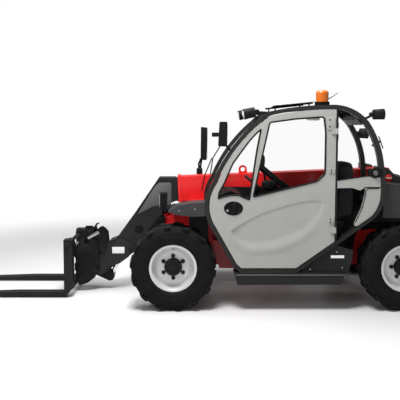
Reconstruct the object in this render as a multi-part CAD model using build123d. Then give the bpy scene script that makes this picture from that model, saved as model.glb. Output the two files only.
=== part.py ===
"""Compact telehandler with a side cab, a two-section boom and a floating fork carriage.

Each function models one piece and each piece is written as its own STEP file. Lengths are in
millimetres and angles in degrees. The pieces are modelled with x = 0 over the front axle, x
growing to the rear, y = 0 on the machine's centre line (the cab stands on the -y side) and
z = 0 on the ground. They are written with x = 0 at the middle of the overall length.
"""
from build123d import *
import math
import os

# ---- overall sizes -------------------------------------------------------------------------
WHEELBASE = 2250
OVERALL_WIDTH = 1810
REAR_OVERHANG = 500          # rear axle to the back of the tow jaw
FORK_LENGTH = 1200
PIVOT_X, PIVOT_Z = WHEELBASE + 40, 1235      # the boom's pivot
BOOM_LENGTH = 2260           # pivot to the outer section's mouth
BOOM_FRONT = PIVOT_X - BOOM_LENGTH
FRONT_OVERHANG = 1190 - BOOM_FRONT           # front axle to the fork shanks' front face
FRONT_AXLE_X = (FORK_LENGTH + FRONT_OVERHANG - WHEELBASE - REAR_OVERHANG) / 2
RUNNING_GAP = 0.3            # seat gap between pieces that move on each other
PANEL_GAP = 6                # gap round doors and lids
SEAT_GAP = 0.3               # gap between pieces that are bolted face to face

# ---- wheels and axles ----------------------------------------------------------------------
TYRE_RADIUS = 422
TYRE_WIDTH = 300
TREAD_DEPTH = 26
TREAD_WIDTH = 272
LUGS_PER_SIDE = 14
LUG_WIDTH = 50
LUG_SLANT = 74               # how far a lug runs round the tyre on its way out
RIM_FLANGE_RADIUS = 233
RIM_SEAT_RADIUS = 208
RIM_WIDTH = 250
RIM_WALL = 7
DISC_INSET = 84              # from the flange's outer plane to the disc's face
DISC_THICKNESS = 14
HUB_RADIUS = 85
HUB_LENGTH = 58
NUT_CIRCLE_RADIUS = 110
NUT_COUNT = 6
NUT_RADIUS = 17
NUT_LENGTH = 24
AXLE_Z = TYRE_RADIUS
WHEEL_Y = (OVERALL_WIDTH - TYRE_WIDTH) / 2
KINGPIN_Y = WHEEL_Y - 115
STEERING_ARM = 125           # kingpin to the steering rod
YOKE_HEIGHT = 250
YOKE_ARM = 25
BEAM_RADIUS = 62
DIFFERENTIAL_RADIUS = 135
STEER_ROD_RADIUS = 16
STEER_ROD_Z = AXLE_Z + 32
BALL_JOINT_RADIUS = 26

# ---- chassis -------------------------------------------------------------------------------
PLATE_INNER_Y = 140
PLATE_THICKNESS = 25
CHASSIS_BOTTOM = 300
CHASSIS_TOP = 880
BELLY_HALF_WIDTH = 335
TOWER_REAR_X = WHEELBASE + 310       # rear edge of the chassis plates
COUNTERWEIGHT_X = TOWER_REAR_X + SEAT_GAP
TOW_X, TOW_Z = WHEELBASE + REAR_OVERHANG - 38, 600   # the tow pin, half way up its jaw
TOW_JAW_HEIGHT = 70
TOW_EAR_THICKNESS = 25
TOW_PIN_RADIUS = 16
TOW_BORE_LENGTH = TOW_JAW_HEIGHT + 2 * TOW_EAR_THICKNESS
AXLE_NOTCH = 115
AXLE_SADDLE_Z = AXLE_Z + 165

# ---- boom ----------------------------------------------------------------------------------
PIN_RADIUS = 40
BOOM_SLOPE = 2.4             # the lowered boom falls this much towards the front
BOOM_HEIGHT = 267
BOOM_WIDTH = 230
BOOM_WALL = 10
BOOM_DROP = 22               # the box's centre line under the pivot
COLLAR_LENGTH = 28
COLLAR_STEP = 12
SLIDE_GAP = 8
INNER_WALL = 9
INNER_OVERLAP = 2170
NECK_HALF_WIDTH = 100
NECK_WALL = 14
LIFT_PIN = (PIVOT_X - 690, 998)              # under the boom
LIFT_FOOT = (PIVOT_X - 50, 700)              # between the chassis plates
LIFT_ROD_START = 75          # from the foot's centre to the rod's inner end
LIFT_BARREL_RADIUS = 52
LIFT_ROD_RADIUS = 32
LIFT_PIN_RADIUS = 28
LIFT_EAR_Y = 58              # inner faces of the two ears that hold the rod's pin
LIFT_EAR_THICKNESS = 22
LIFT_FOOT_RADIUS = 30
LIFTING_EYE = (BOOM_FRONT + 710, 1325)       # on top of the boom
LIFTING_EYE_RADIUS = 24
LIFTING_EYE_WIDTH = 20

# ---- hitch and forks -----------------------------------------------------------------------
HITCH_PIN = (BOOM_FRONT - 900, 230)
TILT_LEVER_PIN = (BOOM_FRONT - 745, 140)
TILT_FOOT = (BOOM_FRONT - 460, 755)
TILT_BARREL_RADIUS = 42
TILT_ROD_RADIUS = 22
TILT_ROD_START = 235
HITCH_PLATE_Y = 125
HITCH_PLATE_THICKNESS = 22
FORK_SPACING = 700
FORK_WIDTH = 110
FORK_THICKNESS = 50
FORK_CLEARANCE = 10          # underside of the tines above the ground
SHANK_DEPTH = 90
SHANK_TOP = 612
SHAFT_X = -FRONT_OVERHANG + SHANK_DEPTH / 2
SHAFT_Z = 568
SHAFT_RADIUS = 20
SHAFT_HALF_LENGTH = FORK_SPACING / 2 + FORK_WIDTH / 2 + 16
CARRIAGE_LUG_Y = 200         # inner faces of the two lugs that hold the shaft
HITCH_BACK = BOOM_FRONT - 1090               # front face of the hitch, towards the forks

# ---- cab -----------------------------------------------------------------------------------
CAB_OUTER_Y = -885
CAB_INNER_Y = -175
HOOP_DEPTH = 60
BEAM_DEPTH = 55              # inset of the inside of the beams between the hoops
DOOR_REAR_X = 1556
POST_EDGE_X = DOOR_REAR_X + 20
DOOR_THICKNESS = 42
GLASS = 6
PANEL = 18
PANEL_DEPTH = 20             # inset of the inside of the cab's panels
CAB_BOTTOM = 385
WAIST_Z = 1085               # lower edge of the windscreen and the rear window
SIDE_WINDOW_Z = 1155
ROOF_FRONT_X, ROOF_REAR_X = 860, 1830
QUARTER_X = POST_EDGE_X + SEAT_GAP
HOOP_INNER_Y = CAB_OUTER_Y + HOOP_DEPTH
HOOP_FAR_Y = CAB_INNER_Y - HOOP_DEPTH
HINGE_X = DOOR_REAR_X + PANEL_GAP
HINGE_Y = CAB_OUTER_Y - 10
HINGE_RADIUS = 8
HINGE_LENGTH = 55
HINGE_HEIGHTS = (800, 1750)
RECESS_DEPTH = 14
HANDLE_X, HANDLE_Z = 583, 1010
HANDLE_LENGTH, HANDLE_HEIGHT = 92, 68
SILL_INNER_Y = -700
SEAT_Y = -540
SEAT_Z = 870
STEERING_WHEEL = (850, SEAT_Y, 1165)
BEACON_X, BEACON_Y = 1495, -510

# ---- side pod ------------------------------------------------------------------------------
POD_INNER_Y = 175
HOOD_HINGE_Y, HOOD_HINGE_Z = 172, 1182
HOOD_HINGES_X = (700, 1460)
HOOD_HINGE_RADIUS = 9
POD_OUTER_Y = 885
NOSE_REAR = (360, 1070)      # top rear corner of the covers ahead of the cab and the hood


# ---- helpers -------------------------------------------------------------------------------
def block(x0, x1, y0, y1, z0, z1):
    """A box between two opposite corners."""
    corner = Pos(min(x0, x1), min(y0, y1), min(z0, z1))
    low = (Align.MIN, Align.MIN, Align.MIN)
    return corner * Box(abs(x1 - x0), abs(y1 - y0), abs(z1 - z0), align=low)


def outline(points, radius=0.0):
    """A closed face in the plane x-z, with its corners rounded."""
    if radius:
        wire = FilletPolyline(*points, radius=radius, close=True)
    else:
        wire = Polyline(*points, close=True)
    return make_face(Plane.XZ * wire)


def slab(face, y0, y1):
    """A face in the plane x-z, pulled out between two values of y."""
    low, high = min(y0, y1), max(y0, y1)
    return extrude(Pos(0, high, 0) * face, amount=high - low, dir=(0, -1, 0))


def plate(points, y0, y1, radius=0.0):
    return slab(outline(points, radius), y0, y1)


def bar_y(x, z, radius, y0, y1):
    """A round bar along y."""
    low, high = min(y0, y1), max(y0, y1)
    return Pos(x, (low + high) / 2, z) * Rot(90, 0, 0) * Cylinder(radius, high - low)


def bar(start, end, radius):
    """A round bar between two points."""
    start, end = Vector(*start), Vector(*end)
    course = end - start
    plane = Plane(origin=start, z_dir=course)
    return plane * Cylinder(radius, course.length, align=(Align.CENTER, Align.CENTER, Align.MIN))


def both_sides(shape):
    """The shape and its mirror image across the centre line."""
    return shape + mirror(shape, Plane.XZ)


def along(start, end, distance):
    """The point at a distance from start on the way to end, in the plane x-z."""
    length = math.dist(start, end)
    return tuple(a + (b - a) * distance / length for a, b in zip(start, end))


# ---- wheels --------------------------------------------------------------------------------
def tyre_shape():
    """A lugged tyre round the y axis: a ring with two rows of slanting lugs."""
    base = TYRE_RADIUS - TREAD_DEPTH
    bead = RIM_SEAT_RADIUS + RUNNING_GAP
    half = TYRE_WIDTH / 2
    seat = RIM_WIDTH / 2 - 10
    side = [
        (bead, seat - 2), (RIM_FLANGE_RADIUS + 6, seat - 2), (RIM_FLANGE_RADIUS + 24, half - 6),
        (330, half), (base, TREAD_WIDTH / 2 - 8),
    ]
    profile = side + [(r, -y) for r, y in reversed(side)]
    ring = revolve(make_face(Polyline(*profile, close=True)), Axis.Y)
    pitch = 360 / LUGS_PER_SIDE
    lug = lug_shape(base)
    for row, start in ((1, 0.0), (-1, pitch / 2)):
        turned = lug if row > 0 else mirror(lug, Plane.XZ)
        for index in range(LUGS_PER_SIDE):
            ring += Rot(0, start + 90 + index * pitch, 0) * turned
    return ring


def lug_shape(base):
    """One lug on +x: a bar that slants from the middle of the tread to its shoulder, lofted
    from its section in the middle to its section at the shoulder, which stands lower."""
    half = TREAD_WIDTH / 2
    sections = [                   # across, along at the middle, half width, top's radius
        (-12, -LUG_SLANT / 2, LUG_WIDTH * 0.34, TYRE_RADIUS),
        (half - 14, LUG_SLANT / 2 - 6, LUG_WIDTH * 0.46, TYRE_RADIUS - 3),
        (half + 10, LUG_SLANT / 2 + 2, LUG_WIDTH * 0.46, base - 4),
    ]
    faces = []
    for y, z, wide, top in sections:
        low = base - 24
        corners = [(low, y, z - wide), (top, y, z - wide + 5), (top, y, z + wide - 5),
                   (low, y, z + wide)]
        faces.append(make_face(Polyline(*corners, close=True)))
    return loft(faces, ruled=True)


def rim_shape(turn):
    """A rim with its dished disc, hub cap and nuts; its outer side looks to +y."""
    flange = RIM_FLANGE_RADIUS
    seat = RIM_SEAT_RADIUS
    half = RIM_WIDTH / 2
    lip = 8
    face = half - DISC_INSET
    inner = seat - RIM_WALL
    profile = [
        (seat, -half + lip), (flange, -half + lip), (flange, -half), (inner, -half),
        (inner, face - DISC_THICKNESS - 12), (inner - 20, face - DISC_THICKNESS),
        (0, face - DISC_THICKNESS), (0, face), (inner - 30, face), (inner - 8, face + 12),
        (inner, face + 34),
        (inner, half), (flange, half), (flange, half - lip), (seat, half - lip),
    ]
    rim = revolve(make_face(Polyline(*profile, close=True)), Axis.Y)
    hub = [
        (0, face - 1), (HUB_RADIUS, face - 1), (HUB_RADIUS - 4, face + HUB_LENGTH),
        (0, face + HUB_LENGTH),
    ]
    rim += revolve(make_face(Polyline(*hub, close=True)), Axis.Y)
    for index in range(NUT_COUNT):
        angle = math.radians(turn + index * 360 / NUT_COUNT)
        x, z = NUT_CIRCLE_RADIUS * math.cos(angle), NUT_CIRCLE_RADIUS * math.sin(angle)
        nut = extrude(Plane.XZ * RegularPolygon(NUT_RADIUS, 6), amount=-NUT_LENGTH)
        rim += Pos(x, face - 1, z) * nut
    return rim


def knuckle_shape():
    """A steering knuckle round its kingpin, with the stub flange towards +y."""
    disc_back = WHEEL_Y - KINGPIN_Y + RIM_WIDTH / 2 - DISC_INSET - DISC_THICKNESS
    inside = YOKE_HEIGHT / 2 - YOKE_ARM - RUNNING_GAP
    body = Cylinder(70, 2 * inside)
    flange = bar_y(0, 0, 96, disc_back - 26, disc_back - RUNNING_GAP)
    neck = bar_y(0, 0, 66, 0, disc_back - 20)
    arm = block(0, STEERING_ARM, -24, 24, -14, 12)
    arm += Pos(STEERING_ARM, 0, -1) * Cylinder(BALL_JOINT_RADIUS + 4, 26)
    return body + neck + flange + arm


# ---- axles ---------------------------------------------------------------------------------
def axle_shape():
    """An axle round x = 0: beam, differential, end yokes and the steering cylinder's barrel."""
    end = KINGPIN_Y - 76
    beam = bar_y(0, 0, BEAM_RADIUS, -end, end)
    middle = DIFFERENTIAL_RADIUS
    half_case = [(0, 0), (middle, 0), (middle, 50), (BEAM_RADIUS + 22, 130),
                 (BEAM_RADIUS + 22, 240), (0, 240)]
    case = both_sides(revolve(make_face(Polyline(*half_case, close=True)), Axis.Y))
    half = YOKE_HEIGHT / 2
    yoke = block(-58, 58, end - 30, end, -half, half)
    for side in (-1, 1):
        height = side * (half - YOKE_ARM / 2)
        yoke += Pos(0, (end + KINGPIN_Y) / 2, height) * Box(116, KINGPIN_Y - end, YOKE_ARM)
        yoke += Pos(0, KINGPIN_Y, height) * Cylinder(58, YOKE_ARM)
        yoke += Pos(0, KINGPIN_Y, height + side * 14) * Cylinder(30, 18)
    saddle = block(-60, 60, -80, 80, 60, AXLE_SADDLE_Z - AXLE_Z - SEAT_GAP)
    barrel = bar_y(STEERING_ARM, STEER_ROD_Z - AXLE_Z, 36, -190, 190)
    bracket = block(0, STEERING_ARM, -150, -110, -20, STEER_ROD_Z - AXLE_Z)
    shape = beam + case + both_sides(yoke) + saddle + barrel + both_sides(bracket)
    hole = STEER_ROD_RADIUS + RUNNING_GAP / 3
    shape -= bar_y(STEERING_ARM, STEER_ROD_Z - AXLE_Z, hole, -200, 200)
    return Pos(0, 0, AXLE_Z) * shape


def steer_rod_shape():
    """The rod through the steering cylinder, with a ball joint over each knuckle's arm."""
    height = STEER_ROD_Z - AXLE_Z
    rod = bar_y(STEERING_ARM, height, STEER_ROD_RADIUS, -KINGPIN_Y, KINGPIN_Y)
    foot = 12 + RUNNING_GAP
    joint = Pos(STEERING_ARM, KINGPIN_Y, (foot + height + 20) / 2)
    joint = joint * Cylinder(BALL_JOINT_RADIUS, height + 20 - foot)
    return Pos(0, 0, AXLE_Z) * (rod + both_sides(joint))


def at_axle(shape, rear):
    return Pos(WHEELBASE, 0, 0) * shape if rear else shape


# ---- chassis -------------------------------------------------------------------------------
def chassis_frame():
    rear = TOWER_REAR_X
    side = [
        (-135, 640), (-135, 800), (60, CHASSIS_TOP), (120, CHASSIS_TOP), (150, 1010), (320, 1010),
        (350, CHASSIS_TOP), (rear - 910, CHASSIS_TOP), (rear - 610, 1010),
        (PIVOT_X - 140, 1290), (PIVOT_X - 70, 1325), (PIVOT_X + 20, 1320),
        (PIVOT_X + 100, 1240), (rear, 900), (rear, 330),
        (rear - 110, CHASSIS_BOTTOM), (330, CHASSIS_BOTTOM), (170, 420), (120, 640),
    ]
    inner = PLATE_INNER_Y
    wall = plate(side, inner, inner + PLATE_THICKNESS)
    wall -= block(-AXLE_NOTCH, AXLE_NOTCH, 0, 400, 0, AXLE_SADDLE_Z)
    wall -= block(WHEELBASE - AXLE_NOTCH, WHEELBASE + STEERING_ARM + 45, 0, 400, 0, AXLE_SADDLE_Z)
    frame = both_sides(wall)
    crossings = [                  # x0, x1, z0, z1 of the cross-members between the plates
        (-135, -105, 640, 800), (120, 160, 500, 800), (330, 370, 300, 800),
        (900, 940, 300, 700), (rear - 630, rear - 600, 300, 395), (rear - 30, rear, 330, 900),
    ]
    for x0, x1, z0, z1 in crossings:
        frame += block(x0, x1, -inner, inner, z0, z1)
    for x in (0, WHEELBASE):
        frame += block(x - 150, x + 150, -inner, inner, AXLE_SADDLE_Z, AXLE_SADDLE_Z + 40)
    outside = inner + PLATE_THICKNESS
    top = CAB_BOTTOM - SEAT_GAP
    belly = [(400, 600), (470, CHASSIS_BOTTOM), (rear - 920, CHASSIS_BOTTOM),
             (rear - 860, top), (646, top), (573, 446), (489, 596)]
    wing = plate(belly, outside, BELLY_HALF_WIDTH)
    frame += both_sides(wing)
    heel = [(rear - 900, 440), (rear - 900, 380), (rear - 800, 380), (rear - 600, 700),
            (rear - 600, 760), (rear - 680, 760)]
    frame += both_sides(plate(heel, outside, BELLY_HALF_WIDTH))
    for x in (720, 1120):          # outriggers under the cab and the side pod
        frame += block(x, x + 80, SILL_INNER_Y + SEAT_GAP, POD_OUTER_Y - 40, 310, top)
    pin = bar_y(PIVOT_X, PIVOT_Z, PIN_RADIUS, -outside, outside)
    foot = bar_y(*LIFT_FOOT, LIFT_FOOT_RADIUS, -inner, inner)
    return frame + pin + foot


def counterweight():
    """The weight behind the rear axle, with the ears of the tow jaw at its back."""
    back = WHEELBASE + REAR_OVERHANG
    face = back - 75
    low = [(COUNTERWEIGHT_X, 330), (face - 50, 330), (face, 400), (face, 880),
           (COUNTERWEIGHT_X, 880)]
    top = [(COUNTERWEIGHT_X, 880), (COUNTERWEIGHT_X, 1150), (face - 45, 1150), (face + 10, 1070),
           (face + 10, 890), (face, 880)]
    shape = plate(low, -BELLY_HALF_WIDTH, BELLY_HALF_WIDTH) + plate(top, -660, 660)
    low_z = TOW_Z - TOW_BORE_LENGTH / 2
    for z in (low_z, TOW_Z + TOW_JAW_HEIGHT / 2):
        shape += block(face - 1, back, -70, 70, z, z + TOW_EAR_THICKNESS)
    return shape - Pos(TOW_X, 0, TOW_Z) * Cylinder(TOW_PIN_RADIUS, TOW_BORE_LENGTH + 2)


def rear_covers():
    """The covers behind the cab: the boom tower's cheeks, the boxes over the rear wheels and
    the liners on the chassis plates."""
    back = COUNTERWEIGHT_X - SEAT_GAP
    x = WHEELBASE
    inside = PLATE_INNER_Y + PLATE_THICKNESS + SEAT_GAP
    cheek = [(x - 120, 905), (x - 120, 1376), (x - 50, 1368), (x + 25, 1288), (x + 270, 1250),
             (back, 1150), (back, 905)]
    box = [(x - 202, 905), (x - 202, 1215), (x - 180, 1237), (x - 50, 1230), (x + 250, 1190),
           (back, 1120), (back, 905)]
    liner = [(x - 550, 770), (x - 550, 876), (x - 300, 1008), (x - 119, 1240), (x - 119, 905),
             (back, 905), (back, 770)]
    cover = plate(cheek, inside, 450) + plate(box, 449, 800)
    return both_sides(cover + plate(liner, inside, inside + 6))


# ---- side pod and hood ---------------------------------------------------------------------
def side_pod():
    """The tank and the tray on the right-hand side, under the hood."""
    tank = [(500, 640), (640, CAB_BOTTOM), (1250, CAB_BOTTOM), (1550, 610), (1550, 640)]
    shape = plate(tank, 345, POD_OUTER_Y - 15, radius=12)
    inner = PLATE_INNER_Y + PLATE_THICKNESS + SEAT_GAP
    shape += block(700, 1500, inner, 360, 600, 640)
    for x in HOOD_HINGES_X:        # straps up to the hood's hinge
        shape += block(x, x + 40, inner, POD_INNER_Y - SEAT_GAP, 600, HOOD_HINGE_Z - 4)
        shape += bar((x, HOOD_HINGE_Y, HOOD_HINGE_Z), (x + 40, HOOD_HINGE_Y, HOOD_HINGE_Z),
                     HOOD_HINGE_RADIUS)
    return shape


def engine_block():
    return block(760, 1450, 230, 780, 640 + SEAT_GAP, 1010)


def hood_outline(inset=0.0):
    outer = [(378, 880), (398, 1020), (520, 1120), (1700, 1165), (1950, 1120), (1990, 980),
             (1930, 915), (1570, 655), (475, 655)]
    face = outline(outer, 18)
    return offset(face, -inset, kind=Kind.INTERSECTION) if inset else face


def engine_hood():
    inset = [(412, 880), (430, 1000), (530, 1090), (1695, 1133), (1925, 1095), (1955, 985),
             (1910, 930), (1560, 600), (480, 600)]
    y0 = POD_INNER_Y
    hood = slab(hood_outline(), y0, POD_OUTER_Y)
    hood -= plate(inset, y0 - 30, POD_OUTER_Y - 22, radius=12)
    for x in HOOD_HINGES_X:        # ears beside the straps' ends
        low, high = x + 40 + SEAT_GAP, x + 70
        hood += bar((low, HOOD_HINGE_Y, HOOD_HINGE_Z), (high, HOOD_HINGE_Y, HOOD_HINGE_Z),
                    HOOD_HINGE_RADIUS)
        hood += block(low, high, HOOD_HINGE_Y - 2, y0 + 30, HOOD_HINGE_Z - 9, HOOD_HINGE_Z - 1)
        hood += block(low, high, y0, y0 + 30, 1100, HOOD_HINGE_Z - 1)
    return hood


# ---- boom ----------------------------------------------------------------------------------
def on_boom(shape):
    """Move a piece from the boom's own frame (pivot at the origin, front towards -x)."""
    return Pos(PIVOT_X, 0, PIVOT_Z) * Rot(0, -BOOM_SLOPE, 0) * shape


def to_boom(point):
    """A point of the plane x-z, in the boom's own frame."""
    angle = math.radians(BOOM_SLOPE)
    x, z = point[0] - PIVOT_X, point[1] - PIVOT_Z
    return (x * math.cos(angle) + z * math.sin(angle), -x * math.sin(angle) + z * math.cos(angle))


def boom_box(length, back, width, height, wall):
    """A square tube of the boom, from -length to back."""
    middle = -BOOM_DROP
    tube = block(-length, back, -width / 2, width / 2, middle - height / 2, middle + height / 2)
    core = block(-length - 1, back + 1, -width / 2 + wall, width / 2 - wall,
                 middle - height / 2 + wall, middle + height / 2 - wall)
    return tube - core


def wear_pads():
    """Four pads inside the outer section's mouth, which carry the inner section."""
    pads = None
    reach = SLIDE_GAP - RUNNING_GAP
    start, end = -BOOM_LENGTH + 4, -BOOM_LENGTH + 84
    inside_y = BOOM_WIDTH / 2 - BOOM_WALL
    inside_z = BOOM_HEIGHT / 2 - BOOM_WALL
    for side in (-1, 1):
        y, z = side * inside_y, side * inside_z
        flank = block(start, end, y + side * 2, y - side * reach, -BOOM_DROP - 90, -BOOM_DROP + 90)
        level = -BOOM_DROP + z
        flat = block(start, end, -75, 75, level + side * 2, level - side * reach)
        pads = flank + flat if pads is None else pads + flank + flat
    return pads


def boom_outer():
    boom = boom_box(BOOM_LENGTH, 30, BOOM_WIDTH, BOOM_HEIGHT, BOOM_WALL)
    collar = boom_box(BOOM_LENGTH, -BOOM_LENGTH + COLLAR_LENGTH, BOOM_WIDTH + 2 * COLLAR_STEP,
                      BOOM_HEIGHT + 2 * COLLAR_STEP, BOOM_WALL + COLLAR_STEP)
    boom += collar
    half = BOOM_WIDTH / 2
    hub = bar_y(0, 0, 85, -half - 6, half + 6)
    hub -= block(-70, 90, -half + BOOM_WALL, half - BOOM_WALL, -100, 100)
    tail = block(-300, 60, -half, half, -BOOM_DROP - BOOM_HEIGHT / 2,
                 -BOOM_DROP - BOOM_HEIGHT / 2 + BOOM_WALL)
    boom += hub + tail + wear_pads()
    x, z = to_boom(LIFT_PIN)
    under = -BOOM_DROP - BOOM_HEIGHT / 2
    lug = [(x - 120, under + 2), (x - 45, z - 20), (x, z - 48), (x + 45, z - 20),
           (x + 120, under + 2)]
    ear = LIFT_EAR_Y + LIFT_EAR_THICKNESS
    boom += both_sides(plate(lug, LIFT_EAR_Y, ear, radius=10))
    boom += both_sides(bar_y(x, z, LIFT_PIN_RADIUS, ear - 1, ear + 10))
    boom -= bar_y(0, 0, PIN_RADIUS + RUNNING_GAP / 3, -half - 20, half + 20)
    eye_x, eye_z = to_boom(LIFTING_EYE)
    top = -BOOM_DROP + BOOM_HEIGHT / 2
    outer = LIFTING_EYE_RADIUS + 22
    side = LIFTING_EYE_WIDTH / 2
    eye = bar_y(eye_x, eye_z, outer, -side, side)
    eye += block(eye_x - outer, eye_x + outer, -side, side, top - 4, eye_z)
    boom += eye - bar_y(eye_x, eye_z, LIFTING_EYE_RADIUS, -20, 20)
    return on_boom(boom)


def boom_inner():
    front = BOOM_LENGTH + 30
    gap = BOOM_WALL + SLIDE_GAP
    tube = boom_box(front, -BOOM_LENGTH + INNER_OVERLAP - 60, BOOM_WIDTH - 2 * gap,
                    BOOM_HEIGHT - 2 * gap, INNER_WALL)
    neck = [
        (-22, 985), (-22, 1240), (-208, 1240), (-482, 838), (-676, 571), (-750, 545), (-965, 270),
        (-965, 200), (-910, 165), (-830, 175), (-658, 300), (-483, 420), (-360, 620),
        (-230, 790), (-90, 960),
    ]
    core = [
        (30, 1000), (30, 1218), (-196, 1218), (-466, 826), (-666, 552), (-736, 524),
        (-990, 200), (-930, 100), (-630, 240), (-500, 430), (-380, 630), (-250, 800),
        (-120, 975), (-90, 1000),
    ]
    half = NECK_HALF_WIDTH
    head = plate(neck, -half, half) - plate(core, -half + NECK_WALL, half - NECK_WALL)
    panel = [(-448, 836), (-268, 925), (-214, 934), (-70, 942), (-70, 1190), (-205, 1190),
             (-250, 1150)]
    head -= both_sides(plate(panel, half - 5, half + 1))
    head -= bar_y(-424, 673, 46, -half - 1, half + 1)
    cheek = [(-760, 500), (-712, 548), (-560, 520), (-528, 470), (-534, 378), (-640, 300),
             (-800, 240)]
    head += both_sides(plate(cheek, half - 1, half + 12))
    head = Pos(BOOM_FRONT, 0, 0) * head
    head -= bar_y(*HITCH_PIN, 35 + RUNNING_GAP / 3, -half - 5, half + 5)
    head += bar_y(*TILT_FOOT, 24, -half, half)
    return on_boom(tube) + head


# ---- cylinders -----------------------------------------------------------------------------
def barrel_shape(foot, pin, radius, rod_radius, length, pin_radius, half_width):
    """A cylinder's barrel from its foot eye towards the pin, bored for its rod."""
    start, end = along(foot, pin, pin_radius + 4), along(foot, pin, length)
    tube = bar((start[0], 0, start[1]), (end[0], 0, end[1]), radius)
    eye = bar_y(*foot, pin_radius + 18, -half_width, half_width)
    shape = tube + eye - bar_y(*foot, pin_radius + RUNNING_GAP / 3, -200, 200)
    inside = along(foot, pin, pin_radius + 30)
    beyond = along(foot, pin, length + 5)
    bore = bar((inside[0], 0, inside[1]), (beyond[0], 0, beyond[1]), rod_radius + RUNNING_GAP / 3)
    return shape - bore


def rod_shape(foot, pin, rod_radius, start, eye_radius, half_width):
    """A cylinder's rod from inside its barrel to its eye at the pin."""
    low = along(foot, pin, start)
    rod = bar((low[0], 0, low[1]), (pin[0], 0, pin[1]), rod_radius)
    return rod + bar_y(*pin, eye_radius, -half_width, half_width)


def lift_barrel():
    length = math.dist(LIFT_FOOT, LIFT_PIN)
    return barrel_shape(LIFT_FOOT, LIFT_PIN, LIFT_BARREL_RADIUS, LIFT_ROD_RADIUS, length - 75,
                        LIFT_FOOT_RADIUS, 45)


def lift_rod():
    """The rod with its eye and pin, which hang free between the boom's ears."""
    rod = rod_shape(LIFT_FOOT, LIFT_PIN, LIFT_ROD_RADIUS, LIFT_ROD_START, 46, 48)
    return rod + bar_y(*LIFT_PIN, LIFT_PIN_RADIUS, -LIFT_EAR_Y + 5, LIFT_EAR_Y - 5)


def tilt_barrel():
    length = math.dist(TILT_FOOT, TILT_LEVER_PIN)
    return barrel_shape(TILT_FOOT, TILT_LEVER_PIN, TILT_BARREL_RADIUS, TILT_ROD_RADIUS,
                        length - 245, 24, 40)


def tilt_rod():
    return rod_shape(TILT_FOOT, TILT_LEVER_PIN, TILT_ROD_RADIUS, TILT_ROD_START, 40, 28)


# ---- hitch, carriage and forks -------------------------------------------------------------
def hitch():
    """The tilting frame on the boom's head: two side plates, the levers and the lock's hook."""
    side = [
        (-1048, 675), (-968, 675), (-962, 605), (-926, 578), (-880, 559), (-866, 459),
        (-856, 345), (-884, 232), (-903, 156), (-985, 93), (-1066, 67), (-1090, 72),
        (-1090, 340), (-1098, 446), (-1078, 534), (-1077, 597),
    ]
    y0 = HITCH_PLATE_Y
    y1 = y0 + HITCH_PLATE_THICKNESS
    shape = plate(side, y0, y1) - bar_y(-991, 547, 30, y0 - 1, y1 + 1)
    for x, z in ((-1000, 635), (-916, 530)):      # pins through the plates' upper corners
        shape += bar_y(x, z, 16, y1 - 1, y1 + 12)
    hook = [(-965, 590), (-953, 668), (-928, 706), (-892, 716), (-894, 702), (-922, 686),
            (-914, 640), (-880, 668), (-852, 676), (-818, 652), (-789, 618), (-778, 503),
            (-800, 440), (-850, 440), (-870, 470)]
    shape = both_sides(shape + plate(hook, y0 - 7, y0 + 1) + bar_y(-850, 610, 20, y0 - 1, y1))
    lever = [(-935, 235), (-922, 264), (-904, 274), (-834, 254), (-705, 175), (-706, 128),
             (-726, 100), (-760, 92), (-930, 170)]
    shape += both_sides(plate(lever, 36, 56))
    shape += block(-1090, -1060, -y1, y1, 90, 330)
    shape += block(-1075, -1050, -y1, y1, 440, 530)
    shape += block(-985, -955, -y1, y1, 600, 650)
    return Pos(BOOM_FRONT, 0, 0) * shape + bar_y(*HITCH_PIN, 35, -y1 - 12, y1 + 12)


def fork_carriage():
    """The shaft that the forks hang on, with its lugs and the beam behind the shanks."""
    shaft = bar_y(SHAFT_X, SHAFT_Z, SHAFT_RADIUS, -SHAFT_HALF_LENGTH, SHAFT_HALF_LENGTH)
    shaft += both_sides(bar_y(SHAFT_X, SHAFT_Z, SHAFT_RADIUS + 8, SHAFT_HALF_LENGTH - 8,
                              SHAFT_HALF_LENGTH + 8))
    back = -FRONT_OVERHANG + SHANK_DEPTH + SEAT_GAP
    face = HITCH_BACK - SEAT_GAP
    reach = FORK_SPACING / 2 + FORK_WIDTH / 2
    beam = block(back, face, -reach, reach, 100, 195)
    lug = [(SHAFT_X - 30, SHAFT_Z + 32), (SHAFT_X + 24, SHAFT_Z + 36), (face, SHAFT_Z - 60),
           (face, 120), (back, 120), (back, SHAFT_Z - 190), (SHAFT_X - 34, SHAFT_Z - 36)]
    y = CARRIAGE_LUG_Y
    inner = block(face - 26, face, -y, y, 240, 320)
    return shaft + beam + both_sides(plate(lug, y, y + 30)) + inner


def forks():
    front = -FRONT_OVERHANG
    low = FORK_CLEARANCE
    shank = [
        (front, low + FORK_THICKNESS), (front, SHANK_TOP), (front + SHANK_DEPTH, SHANK_TOP),
        (front + SHANK_DEPTH, low + 90), (front + 15, low), (front - 400, low),
        (front - FORK_LENGTH, low + 12), (front - FORK_LENGTH, low + 26),
        (front - 500, low + FORK_THICKNESS),
    ]
    half = FORK_WIDTH / 2
    middle = FORK_SPACING / 2
    fork = plate(shank, middle - half, middle + half)
    fork -= bar_y(SHAFT_X, SHAFT_Z, SHAFT_RADIUS + SEAT_GAP, 0, 1000)
    return both_sides(fork)


# ---- cab -----------------------------------------------------------------------------------
def closed_course(start, arcs, corners):
    """A closed face in the plane x-z: arcs given by their middle and end, then straight edges."""
    edges = []
    for middle, end in arcs:
        edges.append(ThreePointArc(start, middle, end))
        start = end
    for end in corners:
        edges.append(Line(start, end))
        start = end
    return make_face(Plane.XZ * Wire(edges))


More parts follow.
